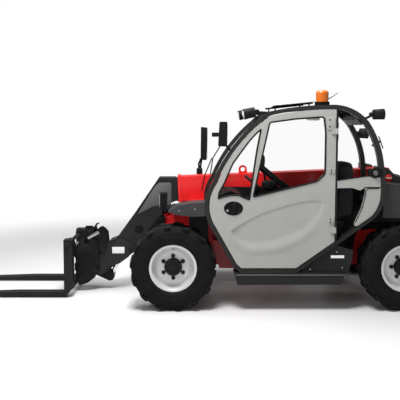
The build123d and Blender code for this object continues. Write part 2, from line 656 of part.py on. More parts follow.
def cab_outline(inset=0.0):
    """The cab's side outline, drawn in by an inset all round."""
    arcs = [
        ((311, 990), (382, 1262)), ((567, 1595), (812, 1856)), ((878, 1911), (957, 1944)),
        ((1225, 1985), (1500, 2000)), ((1705, 1962), (1870, 1834)), ((1972, 1630), (2022, 1400)),
        ((2034, 1240), (2028, 1079)), ((1996, 990), (1930, 903)),
    ]
    corners = [(1202, 385), (650, 385), (578, 448), (378, 802)]
    face = closed_course((378, 802), arcs, corners)
    return offset(face, -inset, kind=Kind.INTERSECTION) if inset else face


def cab_opening(inset=0.0):
    """The opening inside a side hoop, which is narrower at the front than at the back."""
    arcs = [
        ((349, 990), (417, 1248)), ((597, 1571), (839, 1829)), ((897, 1878), (963.5, 1906.6)),
        ((1228, 1947), (1500, 1962)), ((1685, 1925), (1833, 1801)), ((1926, 1615), (1973, 1396)),
        ((1992, 1240), (1988, 1088)), ((1961, 1010), (1906.8, 931)),
    ]
    corners = [(1193, 423), (660, 423), (611, 467), (411, 821)]
    face = closed_course((411, 821), arcs, corners)
    return offset(face, -inset, kind=Kind.INTERSECTION) if inset else face


def cab_band(outer, inner, y0, y1):
    """The part of the cab's wall between two insets."""
    return slab(cab_outline(outer), y0, y1) - slab(cab_outline(inner), y0 - 1, y1 + 1)


def cab_frame():
    hoop = slab(cab_outline(), 0, HOOP_DEPTH) - slab(cab_opening(), -1, HOOP_DEPTH + 1)
    left = Pos(0, CAB_OUTER_Y, 0) * hoop
    right = Pos(0, CAB_INNER_Y - HOOP_DEPTH, 0) * hoop
    inner_face = CAB_OUTER_Y + DOOR_THICKNESS + PANEL_GAP
    post = block(DOOR_REAR_X - 36, DOOR_REAR_X + 14, inner_face, inner_face + 50, 610, 1960)
    post &= slab(cab_outline(PANEL_DEPTH + SEAT_GAP), -2000, 0)
    edge = block(DOOR_REAR_X + PANEL_GAP, POST_EDGE_X, CAB_OUTER_Y + 3, inner_face + 1, 600, 1960)
    post += edge & slab(cab_outline(PANEL_DEPTH), -2000, 0)
    frame = left + right + post + cab_beams(0)
    for z in HINGE_HEIGHTS:
        for side in (-1, 1):
            middle = z + side * (HINGE_LENGTH + SEAT_GAP)
            frame += Pos(HINGE_X, HINGE_Y, middle) * Cylinder(HINGE_RADIUS, HINGE_LENGTH)
            frame += block(HINGE_X, POST_EDGE_X, HINGE_Y - 2, CAB_OUTER_Y + 4,
                           middle - HINGE_LENGTH / 2, middle + HINGE_LENGTH / 2)
    return frame


def cab_beams(gap):
    """The beams across the cab, between its side hoops, grown by a gap."""
    band = cab_band(PANEL_DEPTH + SEAT_GAP - gap, BEAM_DEPTH + gap, HOOP_INNER_Y - 1,
                    HOOP_FAR_Y + 1)
    zones = [                      # x0, x1, z0, z1 around each beam
        (700, 760, 380, 460), (1120, 1180, 380, 460), (862, 912, 1800, 1960),
        (ROOF_REAR_X - 60, ROOF_REAR_X - 10, 1700, 2010), (1880, 2040, 1030, 1075),
        (300, 420, 1030, 1075),
    ]
    keep = None
    for x0, x1, z0, z1 in zones:
        zone = block(x0 - gap, x1 + gap, CAB_OUTER_Y, CAB_INNER_Y, z0 - gap, z1 + gap)
        keep = zone if keep is None else keep + zone
    return band & keep


def cab_panels(low, high):
    """The band that the cab's cross panels lie in, between two insets."""
    return cab_band(low, high, HOOP_INNER_Y + SEAT_GAP, HOOP_FAR_Y - SEAT_GAP)


def cab_shell():
    """Floor, toe board, rear wall and inner side wall of the cab."""
    wide = block(0, 3000, CAB_OUTER_Y, CAB_INNER_Y, 300, WAIST_Z)
    shell = cab_panels(2, PANEL_DEPTH) & wide
    y1 = HOOP_FAR_Y - SEAT_GAP
    side = slab(cab_outline(2), y1 - PANEL, y1)
    side &= block(0, 3000, CAB_OUTER_Y, 0, 300, SIDE_WINDOW_Z)
    side -= block(0, 3000, CAB_OUTER_Y, 0, WAIST_Z, SIDE_WINDOW_Z) - slab(
        cab_opening(SEAT_GAP), CAB_OUTER_Y, 0)
    return shell + side - cab_beams(SEAT_GAP)


def cab_roof():
    roof = cab_panels(2, PANEL_DEPTH) & block(ROOF_FRONT_X, ROOF_REAR_X, -2000, 0, 1700, 2100)
    base = Pos(BEACON_X, BEACON_Y, 2010) * Cylinder(74, 62)
    roof += base
    for y in (CAB_OUTER_Y + 90, CAB_INNER_Y - 110):
        rail_bar = bar((950, y, 1978), (1345, y, 2020), 9)
        for x, z in ((985, 1955), (1310, 1990)):
            rail_bar += bar((x, y, z - 10), (x, y, z + 26), 7)
        roof += rail_bar
    return roof


def cab_glazing():
    """Windscreen, rear window, inner side window and the rear side windows."""
    sheet = cab_panels(4, 4 + GLASS)
    above = WAIST_Z + SEAT_GAP
    panes = sheet & block(0, ROOF_FRONT_X - SEAT_GAP, -2000, 0, above, 2100)
    panes += sheet & block(ROOF_REAR_X + SEAT_GAP, 3000, -2000, 0, above, 2100)
    inside = cab_opening(SEAT_GAP)
    y1 = CAB_INNER_Y - 15
    panes += slab(inside, y1 - GLASS, y1) & block(0, 3000, -2000, 0, SIDE_WINDOW_Z, 2100)
    y0 = CAB_OUTER_Y + 20
    quarter = slab(inside, y0, y0 + GLASS) & block(QUARTER_X, 3000, -2000, 0, 300, 2100)
    for face in quarter_faces(-SEAT_GAP):
        quarter -= slab(face, -2000, 0)
    return panes + quarter


def quarter_faces(inset=0.0):
    """The strip behind the door's middle hinge and the corner panel under it."""
    strip = [(QUARTER_X, 1275), (1869, 1319), (2100, 1296), (2100, 1216), (1847, 1217),
             (1799, 1183), (1713, 1208), (QUARTER_X, 1205)]
    corner = [(1848, 1204), (2100, 1204), (2100, 840), (1751, 840), (1751, 872), (1815, 1011),
              (1843, 1134)]
    faces = [outline(strip), outline(corner)]
    return [offset(face, -inset, kind=Kind.INTERSECTION) if inset else face for face in faces]


def quarter_panel():
    """The two painted panels behind the door."""
    y0 = CAB_OUTER_Y + 4
    inside = slab(cab_opening(SEAT_GAP), y0, y0 + 30) & block(QUARTER_X, 3000, -2000, 0, 0, 3000)
    strip, corner = [inside & slab(face, y0, y0 + 30) for face in quarter_faces()]
    return strip + corner


# ---- door ----------------------------------------------------------------------------------
def door_windows(inset=0.0):
    main = [(925, 1832), (772, 1120), (1382, 1272), (1456, 1345), (1456, 1740), (1438, 1884),
            (1180, 1866)]
    front = [(445, 1165), (487, 1241), (574, 1442), (651, 1549), (733, 1660), (795, 1728),
             (842, 1770), (803, 1563), (757, 1241), (736, 1093), (678, 1114), (635, 1136),
             (556, 1136), (470, 1117), (436, 1102)]
    faces = [outline(main, 22), outline(front)]
    return [offset(face, -inset, kind=Kind.INTERSECTION) if inset else face for face in faces]


def cab_door():
    y0, y1 = CAB_OUTER_Y, CAB_OUTER_Y + DOOR_THICKNESS
    door = slab(cab_opening(PANEL_GAP), y0, y1)
    door &= block(0, DOOR_REAR_X, -2000, 0, 0, 3000)
    for face in door_windows():
        door -= slab(face, y0 - 1, y1 + 1)
    door -= door_recess()
    door -= Pos(HANDLE_X, y0, HANDLE_Z) * extrude(
        Plane.XZ * Ellipse(HANDLE_LENGTH + SEAT_GAP, HANDLE_HEIGHT + SEAT_GAP), amount=30, both=True)
    for z in HINGE_HEIGHTS:
        door += Pos(HINGE_X, HINGE_Y, z) * Cylinder(HINGE_RADIUS, HINGE_LENGTH)
        door += block(HINGE_X - 50, HINGE_X, HINGE_Y - 2, CAB_OUTER_Y - 2,
                      z - HINGE_LENGTH / 2, z + HINGE_LENGTH / 2)
        door += block(HINGE_X - 50, DOOR_REAR_X - 2, CAB_OUTER_Y - 3, CAB_OUTER_Y + 1,
                      z - HINGE_LENGTH / 2, z + HINGE_LENGTH / 2)
    return door


def door_recess():
    """The pressed field of the door: steep along its top, a slanting ledge along its bottom.
    Each row of the table is one corner: on the door's skin and on the field's floor."""
    corners = [                    # skin x, z; floor x, z
        (549, 793, 577, 791), (717, 895, 732, 880), (878, 977, 886, 959),
        (1066, 1035, 1071, 1017), (1227, 1076, 1232, 1057), (1375, 1095, 1371, 1074),
        (1442, 1072, 1425, 1057), (1454, 1011, 1430, 1020), (1425, 916, 1399, 975),
        (1345, 807, 1320, 880), (1232, 711, 1219, 791), (1070, 636, 1065, 716),
        (908, 599, 909, 670), (746, 599, 753, 670), (651, 643, 665, 695), (576, 725, 604, 743),
    ]
    skin = outline([(x, z) for x, z, _, _ in corners])
    floor = outline([(x, z) for _, _, x, z in corners])
    y = CAB_OUTER_Y
    return loft([Pos(0, y, 0) * skin, Pos(0, y + RECESS_DEPTH, 0) * floor], ruled=True)


def door_glass():
    y0 = CAB_OUTER_Y + 16
    panes = [slab(face, y0, y0 + GLASS) for face in door_windows(SEAT_GAP)]
    return panes[0] + panes[1]


def door_handle():
    """An oval dish with a pull across it."""
    dish = extrude(Plane.XZ * Ellipse(HANDLE_LENGTH, HANDLE_HEIGHT), amount=-28)
    dish -= extrude(Plane.XZ * Ellipse(HANDLE_LENGTH - 8, HANDLE_HEIGHT - 8), amount=-18)
    pull = block(-16, 16, 2, 20, -HANDLE_HEIGHT + 4, HANDLE_HEIGHT - 4)
    return Pos(HANDLE_X, CAB_OUTER_Y, HANDLE_Z) * (dish + pull)


# ---- inside the cab ------------------------------------------------------------------------
def seat_base():
    inside = slab(cab_outline(PANEL_DEPTH + SEAT_GAP), SEAT_Y - 190, SEAT_Y + 190)
    return inside & block(1330, 1680, -2000, 0, 300, SEAT_Z - SEAT_GAP)


def seat_cushion():
    side = [(1235, SEAT_Z), (1225, SEAT_Z + 90), (1260, SEAT_Z + 125), (1660, SEAT_Z + 105),
            (1680, SEAT_Z)]
    return plate(side, SEAT_Y - 235, SEAT_Y + 235, radius=22)


def seat_backrest():
    side = [(1610, SEAT_Z + 112), (1660, SEAT_Z + 500), (1672, SEAT_Z + 576),
            (1768, SEAT_Z + 576), (1775, SEAT_Z + 480), (1725, SEAT_Z + 20), (1676.6, SEAT_Z + 20),
            (1660.3, SEAT_Z + 105)]
    return plate(side, SEAT_Y - 225, SEAT_Y + 225, radius=12)


def dashboard():
    """The console in front of the driver, with the steering column."""
    side = [(440, 600), (330, 880), (350, 1075), (560, 1165), (660, 1130), (730, 1050),
            (700, 960), (640, 600)]
    shape = plate(side, HOOP_INNER_Y + 60, HOOP_FAR_Y - 30, radius=16)
    shape &= slab(cab_outline(PANEL_DEPTH + SEAT_GAP), -2000, 0)
    shape -= cab_beams(SEAT_GAP)
    shape += bar((640, SEAT_Y, 900), STEERING_WHEEL, 34)
    return shape


def steering_wheel():
    start = Vector(640, SEAT_Y, 900)
    centre = Vector(*STEERING_WHEEL)
    plane = Plane(origin=centre, z_dir=centre - start)
    wheel = plane * Pos(0, 0, 22) * Torus(175, 13)
    hub = plane * Pos(0, 0, SEAT_GAP) * Cylinder(40, 34, align=(Align.CENTER, Align.CENTER, Align.MIN))
    for turn in (90, 210, 330):
        spoke = Rot(0, 0, turn) * Pos(100, 0, 20) * Box(150, 26, 10)
        hub += plane * spoke
    return wheel + hub


# ---- body fittings -------------------------------------------------------------------------
def nose_covers():
    """The covers over the front wheels, with their trays and liners beside the chassis."""
    side = [(-45, 973), (46, 1034), (176, 1057), NOSE_REAR, (360, 935), (182, 926), (23, 948)]
    tray = [(-30, 968), (23, 948), (182, 926), (360, 935), (360, 950), (182, 944), (30, 966)]
    liner = [(150, 620), (150, 930), (356, 940), (356, 560), (240, 560)]
    inner = PLATE_INNER_Y + PLATE_THICKNESS + SEAT_GAP
    cover = plate(side, 640, 870) + plate(tray, inner, 641) + plate(liner, inner, inner + 6)
    return cover + (mirror(cover, Plane.XZ) - slab(cab_outline(-SEAT_GAP), -2000, 0))


def side_step():
    """The sill under the door, with the skirt behind it."""
    top = CAB_BOTTOM - SEAT_GAP
    sill = [(593, 362), (600, top), (1663, top), (1663, 360), (1632, 266), (626, 263)]
    shape = plate(sill, CAB_OUTER_Y, SILL_INNER_Y)
    skirt = [(1225, top - 1), (1600, 350), (1702, 378), (1733, 502), (1745, 599), (1580, 648),
             (1427, 537), (1266, 415)]
    return shape + plate(skirt, CAB_OUTER_Y + 15, CAB_OUTER_Y + 33)


def head_lamps():
    lamp = block(-150, -78, 270, 430, 940, 1102)
    bracket = block(-132, -106, 350, 376, 830, 950)
    bracket += block(-134, -104, 165 + SEAT_GAP, 376, 760, 832)
    return both_sides(lamp + bracket)


def work_lamps():
    """Four round lamps on brackets at the corners of the roof."""
    places = [                     # y, lamp's front, its back, bracket's end, radius (x, z)
        (CAB_OUTER_Y + 35, (680, 1910), (787, 1932), (970, 1920), 48),
        (CAB_INNER_Y - 35, (680, 1910), (787, 1932), (970, 1920), 48),
        (CAB_OUTER_Y + 35, (2012, 1912), (1914, 1908), (1800, 1850), 48),
        (CAB_INNER_Y - 45, (2040, 1722), (1960, 1722), (1900, 1690), 52),
    ]
    cab = slab(cab_outline(-SEAT_GAP), CAB_OUTER_Y - 50, CAB_INNER_Y + 50)
    shape = None
    for y, front, back, end, radius in places:
        lamp = bar((front[0], y, front[1]), (back[0], y, back[1]), radius)
        lamp += bar((back[0], y, back[1]), (end[0], y, end[1]), 12)
        lamp -= cab
        shape = lamp if shape is None else shape + lamp
    return shape


def beacon():
    profile = [(0, 2041 + SEAT_GAP), (62, 2041 + SEAT_GAP), (64, 2120), (50, 2152), (0, 2161)]
    lens = revolve(make_face(Plane.XZ * Polyline(*profile, close=True)), Axis.Z)
    return Pos(BEACON_X, BEACON_Y, 0) * lens


def mirrors():
    cab = slab(cab_outline(-SEAT_GAP), -2000, 0)
    near = plate([(436, 1605), (516, 1605), (521, 1840), (449, 1840)], -903, -790, radius=10)
    near += block(374, 455, -890, -850, 1697, 1737)
    near += bar((500, -850, 1625), (560, -850, 1560), 11)
    near -= cab
    far = plate([(285, 1384), (360, 1384), (368, 1780), (290, 1789)], 750, 903, radius=10)
    rise = (NOSE_REAR[1] - 1057) / (NOSE_REAR[0] - 176)
    low = [1057 + rise * (x - 176) + SEAT_GAP for x in (225, 285)]
    far += plate([(225, low[0]), (285, low[1]), (285, 1096), (225, 1096)], 805, 855)
    far += bar((255, 830, 1090), (300, 830, 1400), 11)
    return near + far


def tail_lamps():
    start = COUNTERWEIGHT_X + 58
    return both_sides(block(start, start + 58, 660 + SEAT_GAP, 790, 905, 1000))


# ---- files ---------------------------------------------------------------------------------
def pieces():
    """Every node's name and its solid."""
    shapes = {
        "chassis_frame": chassis_frame(),
        "counterweight": counterweight(),
        "rear_covers": rear_covers(),
        "side_pod": side_pod(),
        "engine_block": engine_block(),
        "engine_hood": engine_hood(),
        "boom_outer": boom_outer(),
        "boom_inner": boom_inner(),
        "lift_barrel": lift_barrel(),
        "lift_rod": lift_rod(),
        "tilt_barrel": tilt_barrel(),
        "tilt_rod": tilt_rod(),
        "hitch": hitch(),
        "fork_carriage": fork_carriage(),
        "forks": forks(),
        "cab_frame": cab_frame(),
        "cab_shell": cab_shell(),
        "cab_roof": cab_roof(),
        "cab_glazing": cab_glazing(),
        "quarter_panel": quarter_panel(),
        "cab_door": cab_door(),
        "door_glass": door_glass(),
        "door_handle": door_handle(),
        "seat_base": seat_base(),
        "seat_cushion": seat_cushion(),
        "seat_backrest": seat_backrest(),
        "dashboard": dashboard(),
        "steering_wheel": steering_wheel(),
        "nose_covers": nose_covers(),
        "side_step": side_step(),
        "head_lamps": head_lamps(),
        "work_lamps": work_lamps(),
        "beacon": beacon(),
        "mirrors": mirrors(),
        "tail_lamps": tail_lamps(),
    }
    axle, rod = axle_shape(), steer_rod_shape()
    tyre, knuckle = tyre_shape(), knuckle_shape()
    for end, rear, turn in (("front", False, 90), ("rear", True, 0)):
        shapes[f"{end}_axle"] = at_axle(axle, rear)
        shapes[f"{end}_steer_rod"] = at_axle(rod, rear)
        rim = rim_shape(turn)
        for side, sign in (("right", 1), ("left", -1)):
            wheel_x = WHEELBASE if rear else 0
            place = Pos(wheel_x, sign * WHEEL_Y, AXLE_Z)
            king = Pos(wheel_x, sign * KINGPIN_Y, AXLE_Z)
            left = sign < 0
            shapes[f"{end}_{side}_tyre"] = place * (mirror(tyre, Plane.XZ) if left else tyre)
            shapes[f"{end}_{side}_rim"] = place * (mirror(rim, Plane.XZ) if left else rim)
            shapes[f"{end}_{side}_knuckle"] = king * (mirror(knuckle, Plane.XZ) if left else knuckle)
    return shapes


def main():
    os.makedirs("parts", exist_ok=True)
    for name, shape in pieces().items():
        export_step(Pos(FRONT_AXLE_X, 0, 0) * shape, f"parts/{name}.step")


if __name__ == "__main__":
    main()
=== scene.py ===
import math

import bmesh
import bpy
import numpy as np
from bpy.props import FloatProperty, FloatVectorProperty, IntProperty, PointerProperty
from bpy.types import Operator, Panel, PropertyGroup
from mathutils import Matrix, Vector


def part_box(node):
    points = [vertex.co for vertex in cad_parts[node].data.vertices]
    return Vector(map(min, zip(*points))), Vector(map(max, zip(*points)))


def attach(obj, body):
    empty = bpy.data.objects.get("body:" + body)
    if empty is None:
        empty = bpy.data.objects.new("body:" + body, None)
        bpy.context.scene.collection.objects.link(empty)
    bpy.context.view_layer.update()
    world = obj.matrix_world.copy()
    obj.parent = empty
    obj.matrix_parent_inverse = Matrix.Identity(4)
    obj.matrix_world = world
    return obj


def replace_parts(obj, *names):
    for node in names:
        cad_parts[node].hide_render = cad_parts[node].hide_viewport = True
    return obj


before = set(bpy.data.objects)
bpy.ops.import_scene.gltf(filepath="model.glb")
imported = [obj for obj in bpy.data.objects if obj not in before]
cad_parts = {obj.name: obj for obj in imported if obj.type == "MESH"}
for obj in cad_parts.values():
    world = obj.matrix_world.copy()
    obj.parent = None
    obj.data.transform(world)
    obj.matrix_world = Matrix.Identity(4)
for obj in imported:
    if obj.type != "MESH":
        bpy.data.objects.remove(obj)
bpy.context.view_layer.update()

bl_info = {
    "name": "Telehandler finish",
    "version": (1, 0, 0),
    "blender": (4, 5, 0),
    "location": "View3D > Sidebar > Telehandler",
    "description": "Dresses the packed telehandler with its paint, tyres, glass, lamps and seat",
    "category": "Object",
}


# ---- the frame's own places ----
def middle(node):
    """The centre of a CAD node's box."""
    low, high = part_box(node)
    return (low + high) / 2


def span(node):
    """The size of a CAD node's box."""
    low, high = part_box(node)
    return high - low


AXLE_X = middle("front_left_tyre").x
WHEELS = [f"{end}_{side}" for end in ("front", "rear") for side in ("left", "right")]
CAB_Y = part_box("side_step")[0].y  # the outer face of cab, door and sill
TYRE_RADIUS = span("front_left_tyre").z / 2
TYRE_WIDTH = span("front_left_tyre").y


def at(x, y, z):
    """A place in the row frame from millimetres behind the front axle, off the middle and up."""
    return np.array([AXLE_X + x / 1000, y / 1000, z / 1000])


def route(*places):
    """Places in a row, as at gives them."""
    return np.array([at(*place) for place in places])


def face_at(x, y, z):
    """The same as at, with y in metres in the row frame, as a CAD node's face gives it."""
    return np.array([AXLE_X + x / 1000, y, z / 1000])


def side_points(points):
    """Pairs of (mm behind the front axle, mm up) as rows of metres in the row frame."""
    table = np.array(points, float) / 1000
    return table + np.array([AXLE_X, 0.0])


# ---- surfaces ----
SAME_POINT = 2e-6  # points nearer than this are merged
ACROSS = np.array([0.0, 1.0, 0.0])  # the machine's width, from its near side to its far


class Shell:
    """Points and faces that are gathered to become one mesh."""

    def __init__(self):
        self.points, self.faces, self.count = [], [], 0

    def add(self, points, faces):
        """Points, and faces that count from the first of them."""
        points = np.asarray(points, float).reshape(-1, 3)
        self.points.append(points)
        self.faces += [[i + self.count for i in face] for face in faces]
        self.count += len(points)
        return self

    def grid(self, points, wrap_u=False, wrap_v=False):
        """Quads between neighbours of an array of rows and columns of points. A wrapped way
        joins its last row or column to its first."""
        nu, nv = points.shape[:2]
        u = np.arange(nu if wrap_u else nu - 1)[:, None]
        v = np.arange(nv if wrap_v else nv - 1)[None, :]
        u2, v2 = (u + 1) % nu, (v + 1) % nv
        quads = np.stack([u * nv + v, u2 * nv + v, u2 * nv + v2, u * nv + v2], -1)
        return self.add(points, quads.reshape(-1, 4).tolist())

    def skin(self, points):
        """Rows of points that each run all the way round."""
        return self.grid(points, wrap_v=True)

    def cap(self, ring):
        """One face over a ring of points."""
        return self.add(ring, [list(range(len(ring)))])

    def tube(self, rings):
        """Rings of points, one row each, joined into a closed skin with a cap at each end."""
        self.skin(rings)
        self.cap(rings[0])
        return self.cap(rings[-1])

    def piece(self, name, make, body="chassis", slot=None, crease=35.0):
        """The finished object, riding its body: doubles merged, faces turned outwards, smooth
        up to a crease. Its finish comes from make. The slot argument is not used: it is worked out
        but not given to the piece."""
        mesh = bpy.data.meshes.new(name)
        mesh.from_pydata(np.concatenate(self.points).tolist(), [], self.faces)
        build = bmesh.new()
        build.from_mesh(mesh)
        bmesh.ops.remove_doubles(build, verts=build.verts, dist=SAME_POINT)
        bmesh.ops.dissolve_degenerate(build, edges=build.edges, dist=SAME_POINT / 2)
        bmesh.ops.recalc_face_normals(build, faces=build.faces)
        build.to_mesh(mesh)
        build.free()
        mesh.polygons.foreach_set("use_smooth", np.ones(len(mesh.polygons), bool))
        mesh.set_sharp_from_angle(angle=math.radians(crease))
        mesh.materials.append(make())
        obj = bpy.data.objects.new(name, mesh)
        bpy.context.scene.collection.objects.link(obj)
        slot = slot or SLOTS.get(make)
        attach(obj, body)
        return obj


def circle(count):
    """Angles spread evenly round a circle."""
    return np.linspace(0, 2 * math.pi, count, endpoint=False)


def turned_to(axis, along, a, b):
    """Points from their distances along an axis and in the two other directions."""
    order = {"x": (along, a, b), "y": (a, along, b), "z": (a, b, along)}[axis]
    return np.stack(order, -1)


def lathe(profile, centre, axis="y", turns=96):
    """Rows of points: each (radius, distance along the axis) of the profile turned about the
    axis, radius times cosine and sine of the angle in the two other directions."""
    profile = np.array(profile, float)
    angle = circle(turns)[None, :]
    r, d = profile[:, :1], profile[:, 1:] + 0 * angle
    a, b = r * np.cos(angle), r * np.sin(angle)
    return turned_to(axis, d, a, b) + np.asarray(centre)


def turned(profile, centre, out=1, turns=48):
    """A profile of (radius, distance) in millimetres turned about y, distances towards out."""
    return lathe(np.array(profile, float) * [1, out] / 1000, centre, turns=turns)


def rounded(points, radius, steps=6, closed=True):
    """A polyline with each corner replaced by a curve: a quadratic blend from the point one
    radius before the corner to the point one radius after it."""
    corner = np.array(points, float)
    before = np.roll(corner, 1, 0) - corner
    after = np.roll(corner, -1, 0) - corner
    length = np.linalg.norm(before, axis=1), np.linalg.norm(after, axis=1)
    reach = np.minimum(radius, 0.45 * np.minimum(*length))[:, None]
    start = corner + before / length[0][:, None] * reach
    end = corner + after / length[1][:, None] * reach
    t = np.linspace(0, 1, steps)[None, :, None]
    curve = (1 - t) ** 2 * start[:, None] + 2 * t * (1 - t) * corner[:, None] + t**2 * end[:, None]
    if not closed:
        inner = curve[1:-1].reshape(-1, corner.shape[1])
        return np.concatenate([corner[:1], inner, corner[-1:]])
    return curve.reshape(-1, corner.shape[1])


def sideways(outline, y):
    """A side-view outline (x, z) as points at one y."""
    outline = np.asarray(outline, float)
    return np.insert(outline, 1, y, axis=1)


def normals(outline):
    """The unit normal at each point of a closed outline: its tangent, from the point before
    to the point after, turned by a right angle."""
    tangent = np.roll(outline, -1, 0) - np.roll(outline, 1, 0)
    tangent /= np.linalg.norm(tangent, axis=1)[:, None]
    return np.stack([tangent[:, 1], -tangent[:, 0]], -1)


def outward(ring):
    """The normals of a closed outline, turned to point out of it: half the sum of the cross
    products of neighbours is its area, whose sign tells which way the outline runs."""
    x, z = ring[:, 0], ring[:, 1]
    area = float(np.sum(np.roll(x, 1) * z - x * np.roll(z, 1))) / 2
    return normals(ring) * math.copysign(1, area)


def band(outline, section):
    """A section of (off the outline, y) carried round a side-view outline."""
    outline = np.asarray(outline, float)
    side = normals(outline)
    return np.stack([sideways(outline + side * off, y) for off, y in section], 1)


def pillow(centre, size, power=4.0, rows=17, turns=32, axis="y"):
    """A rounded box: a superellipsoid, the sine and cosine of both angles each raised to
    2 / power with their signs kept, times half the size."""
    v = np.linspace(-math.pi / 2, math.pi / 2, rows)[:, None]
    u = circle(turns)[None, :]

    def bent(value):
        return np.sign(value) * np.abs(value) ** (2 / power)

    a, b = bent(np.cos(v)) * bent(np.cos(u)), bent(np.cos(v)) * bent(np.sin(u))
    c = bent(np.sin(v)) + 0 * u
    return turned_to(axis, c, a, b) * np.asarray(size) / 2 + np.asarray(centre)


def pipe(path, radius, turns=12, up=ACROSS):
    """A circle carried along a path: the circle's two directions are the tangent crossed with
    a fixed direction and the tangent crossed with that."""
    path = np.asarray(path, float)
    tangent = np.gradient(path, axis=0)
    tangent /= np.linalg.norm(tangent, axis=1)[:, None]
    side = np.cross(tangent, up)
    side /= np.linalg.norm(side, axis=1)[:, None]
    other = np.cross(tangent, side)
    angle = circle(turns)[None, :, None]
    radius = np.broadcast_to(np.asarray(radius, float), (len(path),))[:, None, None]
    return path[:, None] + radius * (np.cos(angle) * side[:, None] + np.sin(angle) * other[:, None])


def sheet(outline, y, outer_y, soft=0.002, corner=0.012):
    """A plate in the side view, its outline in millimetres, from y to outer_y: rings round the
    rounded outline, of which the last two are drawn in and pushed out by a soft edge."""
    ring = rounded(side_points(outline), corner)
    off = outward(ring)
    toward = math.copysign(soft, outer_y - y)
    rows = [(0.0, y), (0.0, outer_y - toward), (-0.4 * soft, outer_y - 0.3 * toward),
            (-1.2 * soft, outer_y)]
    return np.stack([sideways(ring + off * out, level) for out, level in rows])


def bolt(radius, height, sign=-1):
    """A hexagon head with a chamfered top, turned about y: rings at the seat, under the chamfer
    and on top."""
    rings = (radius, 0.0), (radius, 0.8 * height), (0.82 * radius, height), (0.0, height)
    return lathe([(r, sign * d) for r, d in rings], (0, 0, 0), turns=6)


# ---- finishes ----
FINISHES = {}
NOISE = 0.3, 0.7  # the range in which most of a noise lies
RUBBED = 0.53, 0.62  # pointiness where rubbing starts and where it is full
RUBBED_LIFT = 2.2, 0.02  # how much lighter rubbed paint is: times and plus
LOW_SHADE_HEIGHTS = 0.45, 0.75  # metres up where the painted shade is full and where it ends
# the colour of the painted shade, darker towards the ground
LOW_SHADE_COLOUR = (0.016, 0.011, 0.01, 1)
ROUGH_SPREAD = 0.07
COAT_ROUGHNESS = 0.08
BUMP_HEIGHT = 0.002


class Graph:
    """A node tree with short ways to add nodes and to feed their sockets."""

    def __init__(self, owner):
        owner.use_nodes = True
        self.nodes, self.links = owner.node_tree.nodes, owner.node_tree.links

    def feed(self, node, values):
        """Gives each named socket its value, or links it to the output that is given."""
        for name, value in values.items():
            socket = node.inputs[name]
            if isinstance(value, bpy.types.NodeSocket):
                self.links.new(value, socket)
            else:
                socket.default_value = value
        return node

    def node(self, kind, settings=None, **values):
        """A new node with its settings and its sockets' values. In a socket's name an
        underscore stands for a space."""
        node = self.nodes.new(f"ShaderNode{kind}")
        for name, value in (settings or {}).items():
            setattr(node, name, value)
        return self.feed(node, {name.replace("_", " "): value for name, value in values.items()})

    def join(self, kind, settings, *sources):
        """A new node whose first sockets are fed in order by the outputs that are given."""
        node = self.node(kind, settings)
        for source, socket in zip(sources, node.inputs):
            self.links.new(source, socket)
        return node.outputs

    def ranged(self, value, span_in, low=0.0, high=1.0, **settings):
        """A value carried from one range to another and held at its ends."""
        return self.node("MapRange", settings, Value=value, From_Min=span_in[0],
                         From_Max=span_in[1], To_Min=low, To_Max=high).outputs["Result"]

    def mixed(self, factor, first, second):
        """Two colours mixed by a factor."""
        return self.node("Mix", {"data_type": "RGBA"}, Factor=factor, A=first,
                         B=second).outputs["Result"]


def lifted(colour, times, plus=0.0):
    """A colour times a number and plus another, with its alpha."""
    return [min(c * times + plus, 1) for c in colour[:3]] + [1]


def finish(name, colour, rough, metal=0.0, coat=0.0, mottle=0.06, grain=60.0, bump=0.0,
           bump_scale=400.0, weave=False, alpha=1.0, glow=0.0, gloss=0.5, wear=0.0,
           low_shade=0.0):
    """A named procedural material on Object coordinates. Its colour is mottled by a noise of
    the given grain, its roughness by a finer one, and its normal by a bump or a weave. Wear
    lightens the colour where the surface bulges, as rubbed edges do, and a painted shade
    darkens it towards the ground."""
    if name in FINISHES:
        return FINISHES[name]
    material = bpy.data.materials.new(name)
    graph = Graph(material)
    place = graph.node("TexCoord").outputs["Object"]

    def noise(scale, detail):
        return graph.node("TexNoise", Scale=scale, Detail=detail, Vector=place).outputs["Fac"]

    base = graph.mixed(graph.ranged(noise(grain / 10, 4), NOISE), lifted(colour, 1 - mottle),
                       lifted(colour, 1 + mottle))
    if wear:
        bulge = graph.node("NewGeometry").outputs["Pointiness"]
        base = graph.mixed(graph.ranged(bulge, RUBBED, 0.0, wear), base,
                           lifted(colour, *RUBBED_LIFT))
    # painted shade: the colour darkens towards the ground, where the frame lies in shade under the
    # cab
    if low_shade:
        up = graph.node("SeparateXYZ", Vector=place).outputs["Z"]
        base = graph.mixed(graph.ranged(up, LOW_SHADE_HEIGHTS, low_shade, 0.0), base, LOW_SHADE_COLOUR)
    looks = {
        "Base Color": base, "Metallic": metal, "Coat Weight": coat, "Alpha": alpha,
        "Coat Roughness": COAT_ROUGHNESS, "Specular IOR Level": gloss,
        "Roughness": graph.ranged(noise(grain, 3), NOISE, max(rough - ROUGH_SPREAD, 0.02),
                                  rough + ROUGH_SPREAD),
    }
    if glow:
        looks |= {"Emission Color": lifted(colour, 1), "Emission Strength": glow}
    if bump:
        if weave:
            height = graph.join("Math", {"operation": "MAXIMUM"}, *(
                graph.node("TexWave", {"bands_direction": way}, Scale=bump_scale,
                           Vector=place).outputs["Fac"] for way in ("X", "Z")))[0]
        else:
            height = noise(bump_scale, 2)
        looks["Normal"] = graph.node("Bump", Strength=bump, Distance=BUMP_HEIGHT,
                                     Height=height).outputs["Normal"]
    graph.feed(graph.nodes["Principled BSDF"], looks)
    FINISHES[name] = material
    return material


def toned(name, **looks):
    """A finish in one of the colours of the property group."""
    return finish(name, getattr(bpy.context.scene.telehandler_colours, name), **looks)


def red_paint():
    return toned("red", rough=0.3, coat=0.25, mottle=0.04, bump=0.08, bump_scale=700, gloss=0.3,
                 wear=0.2)
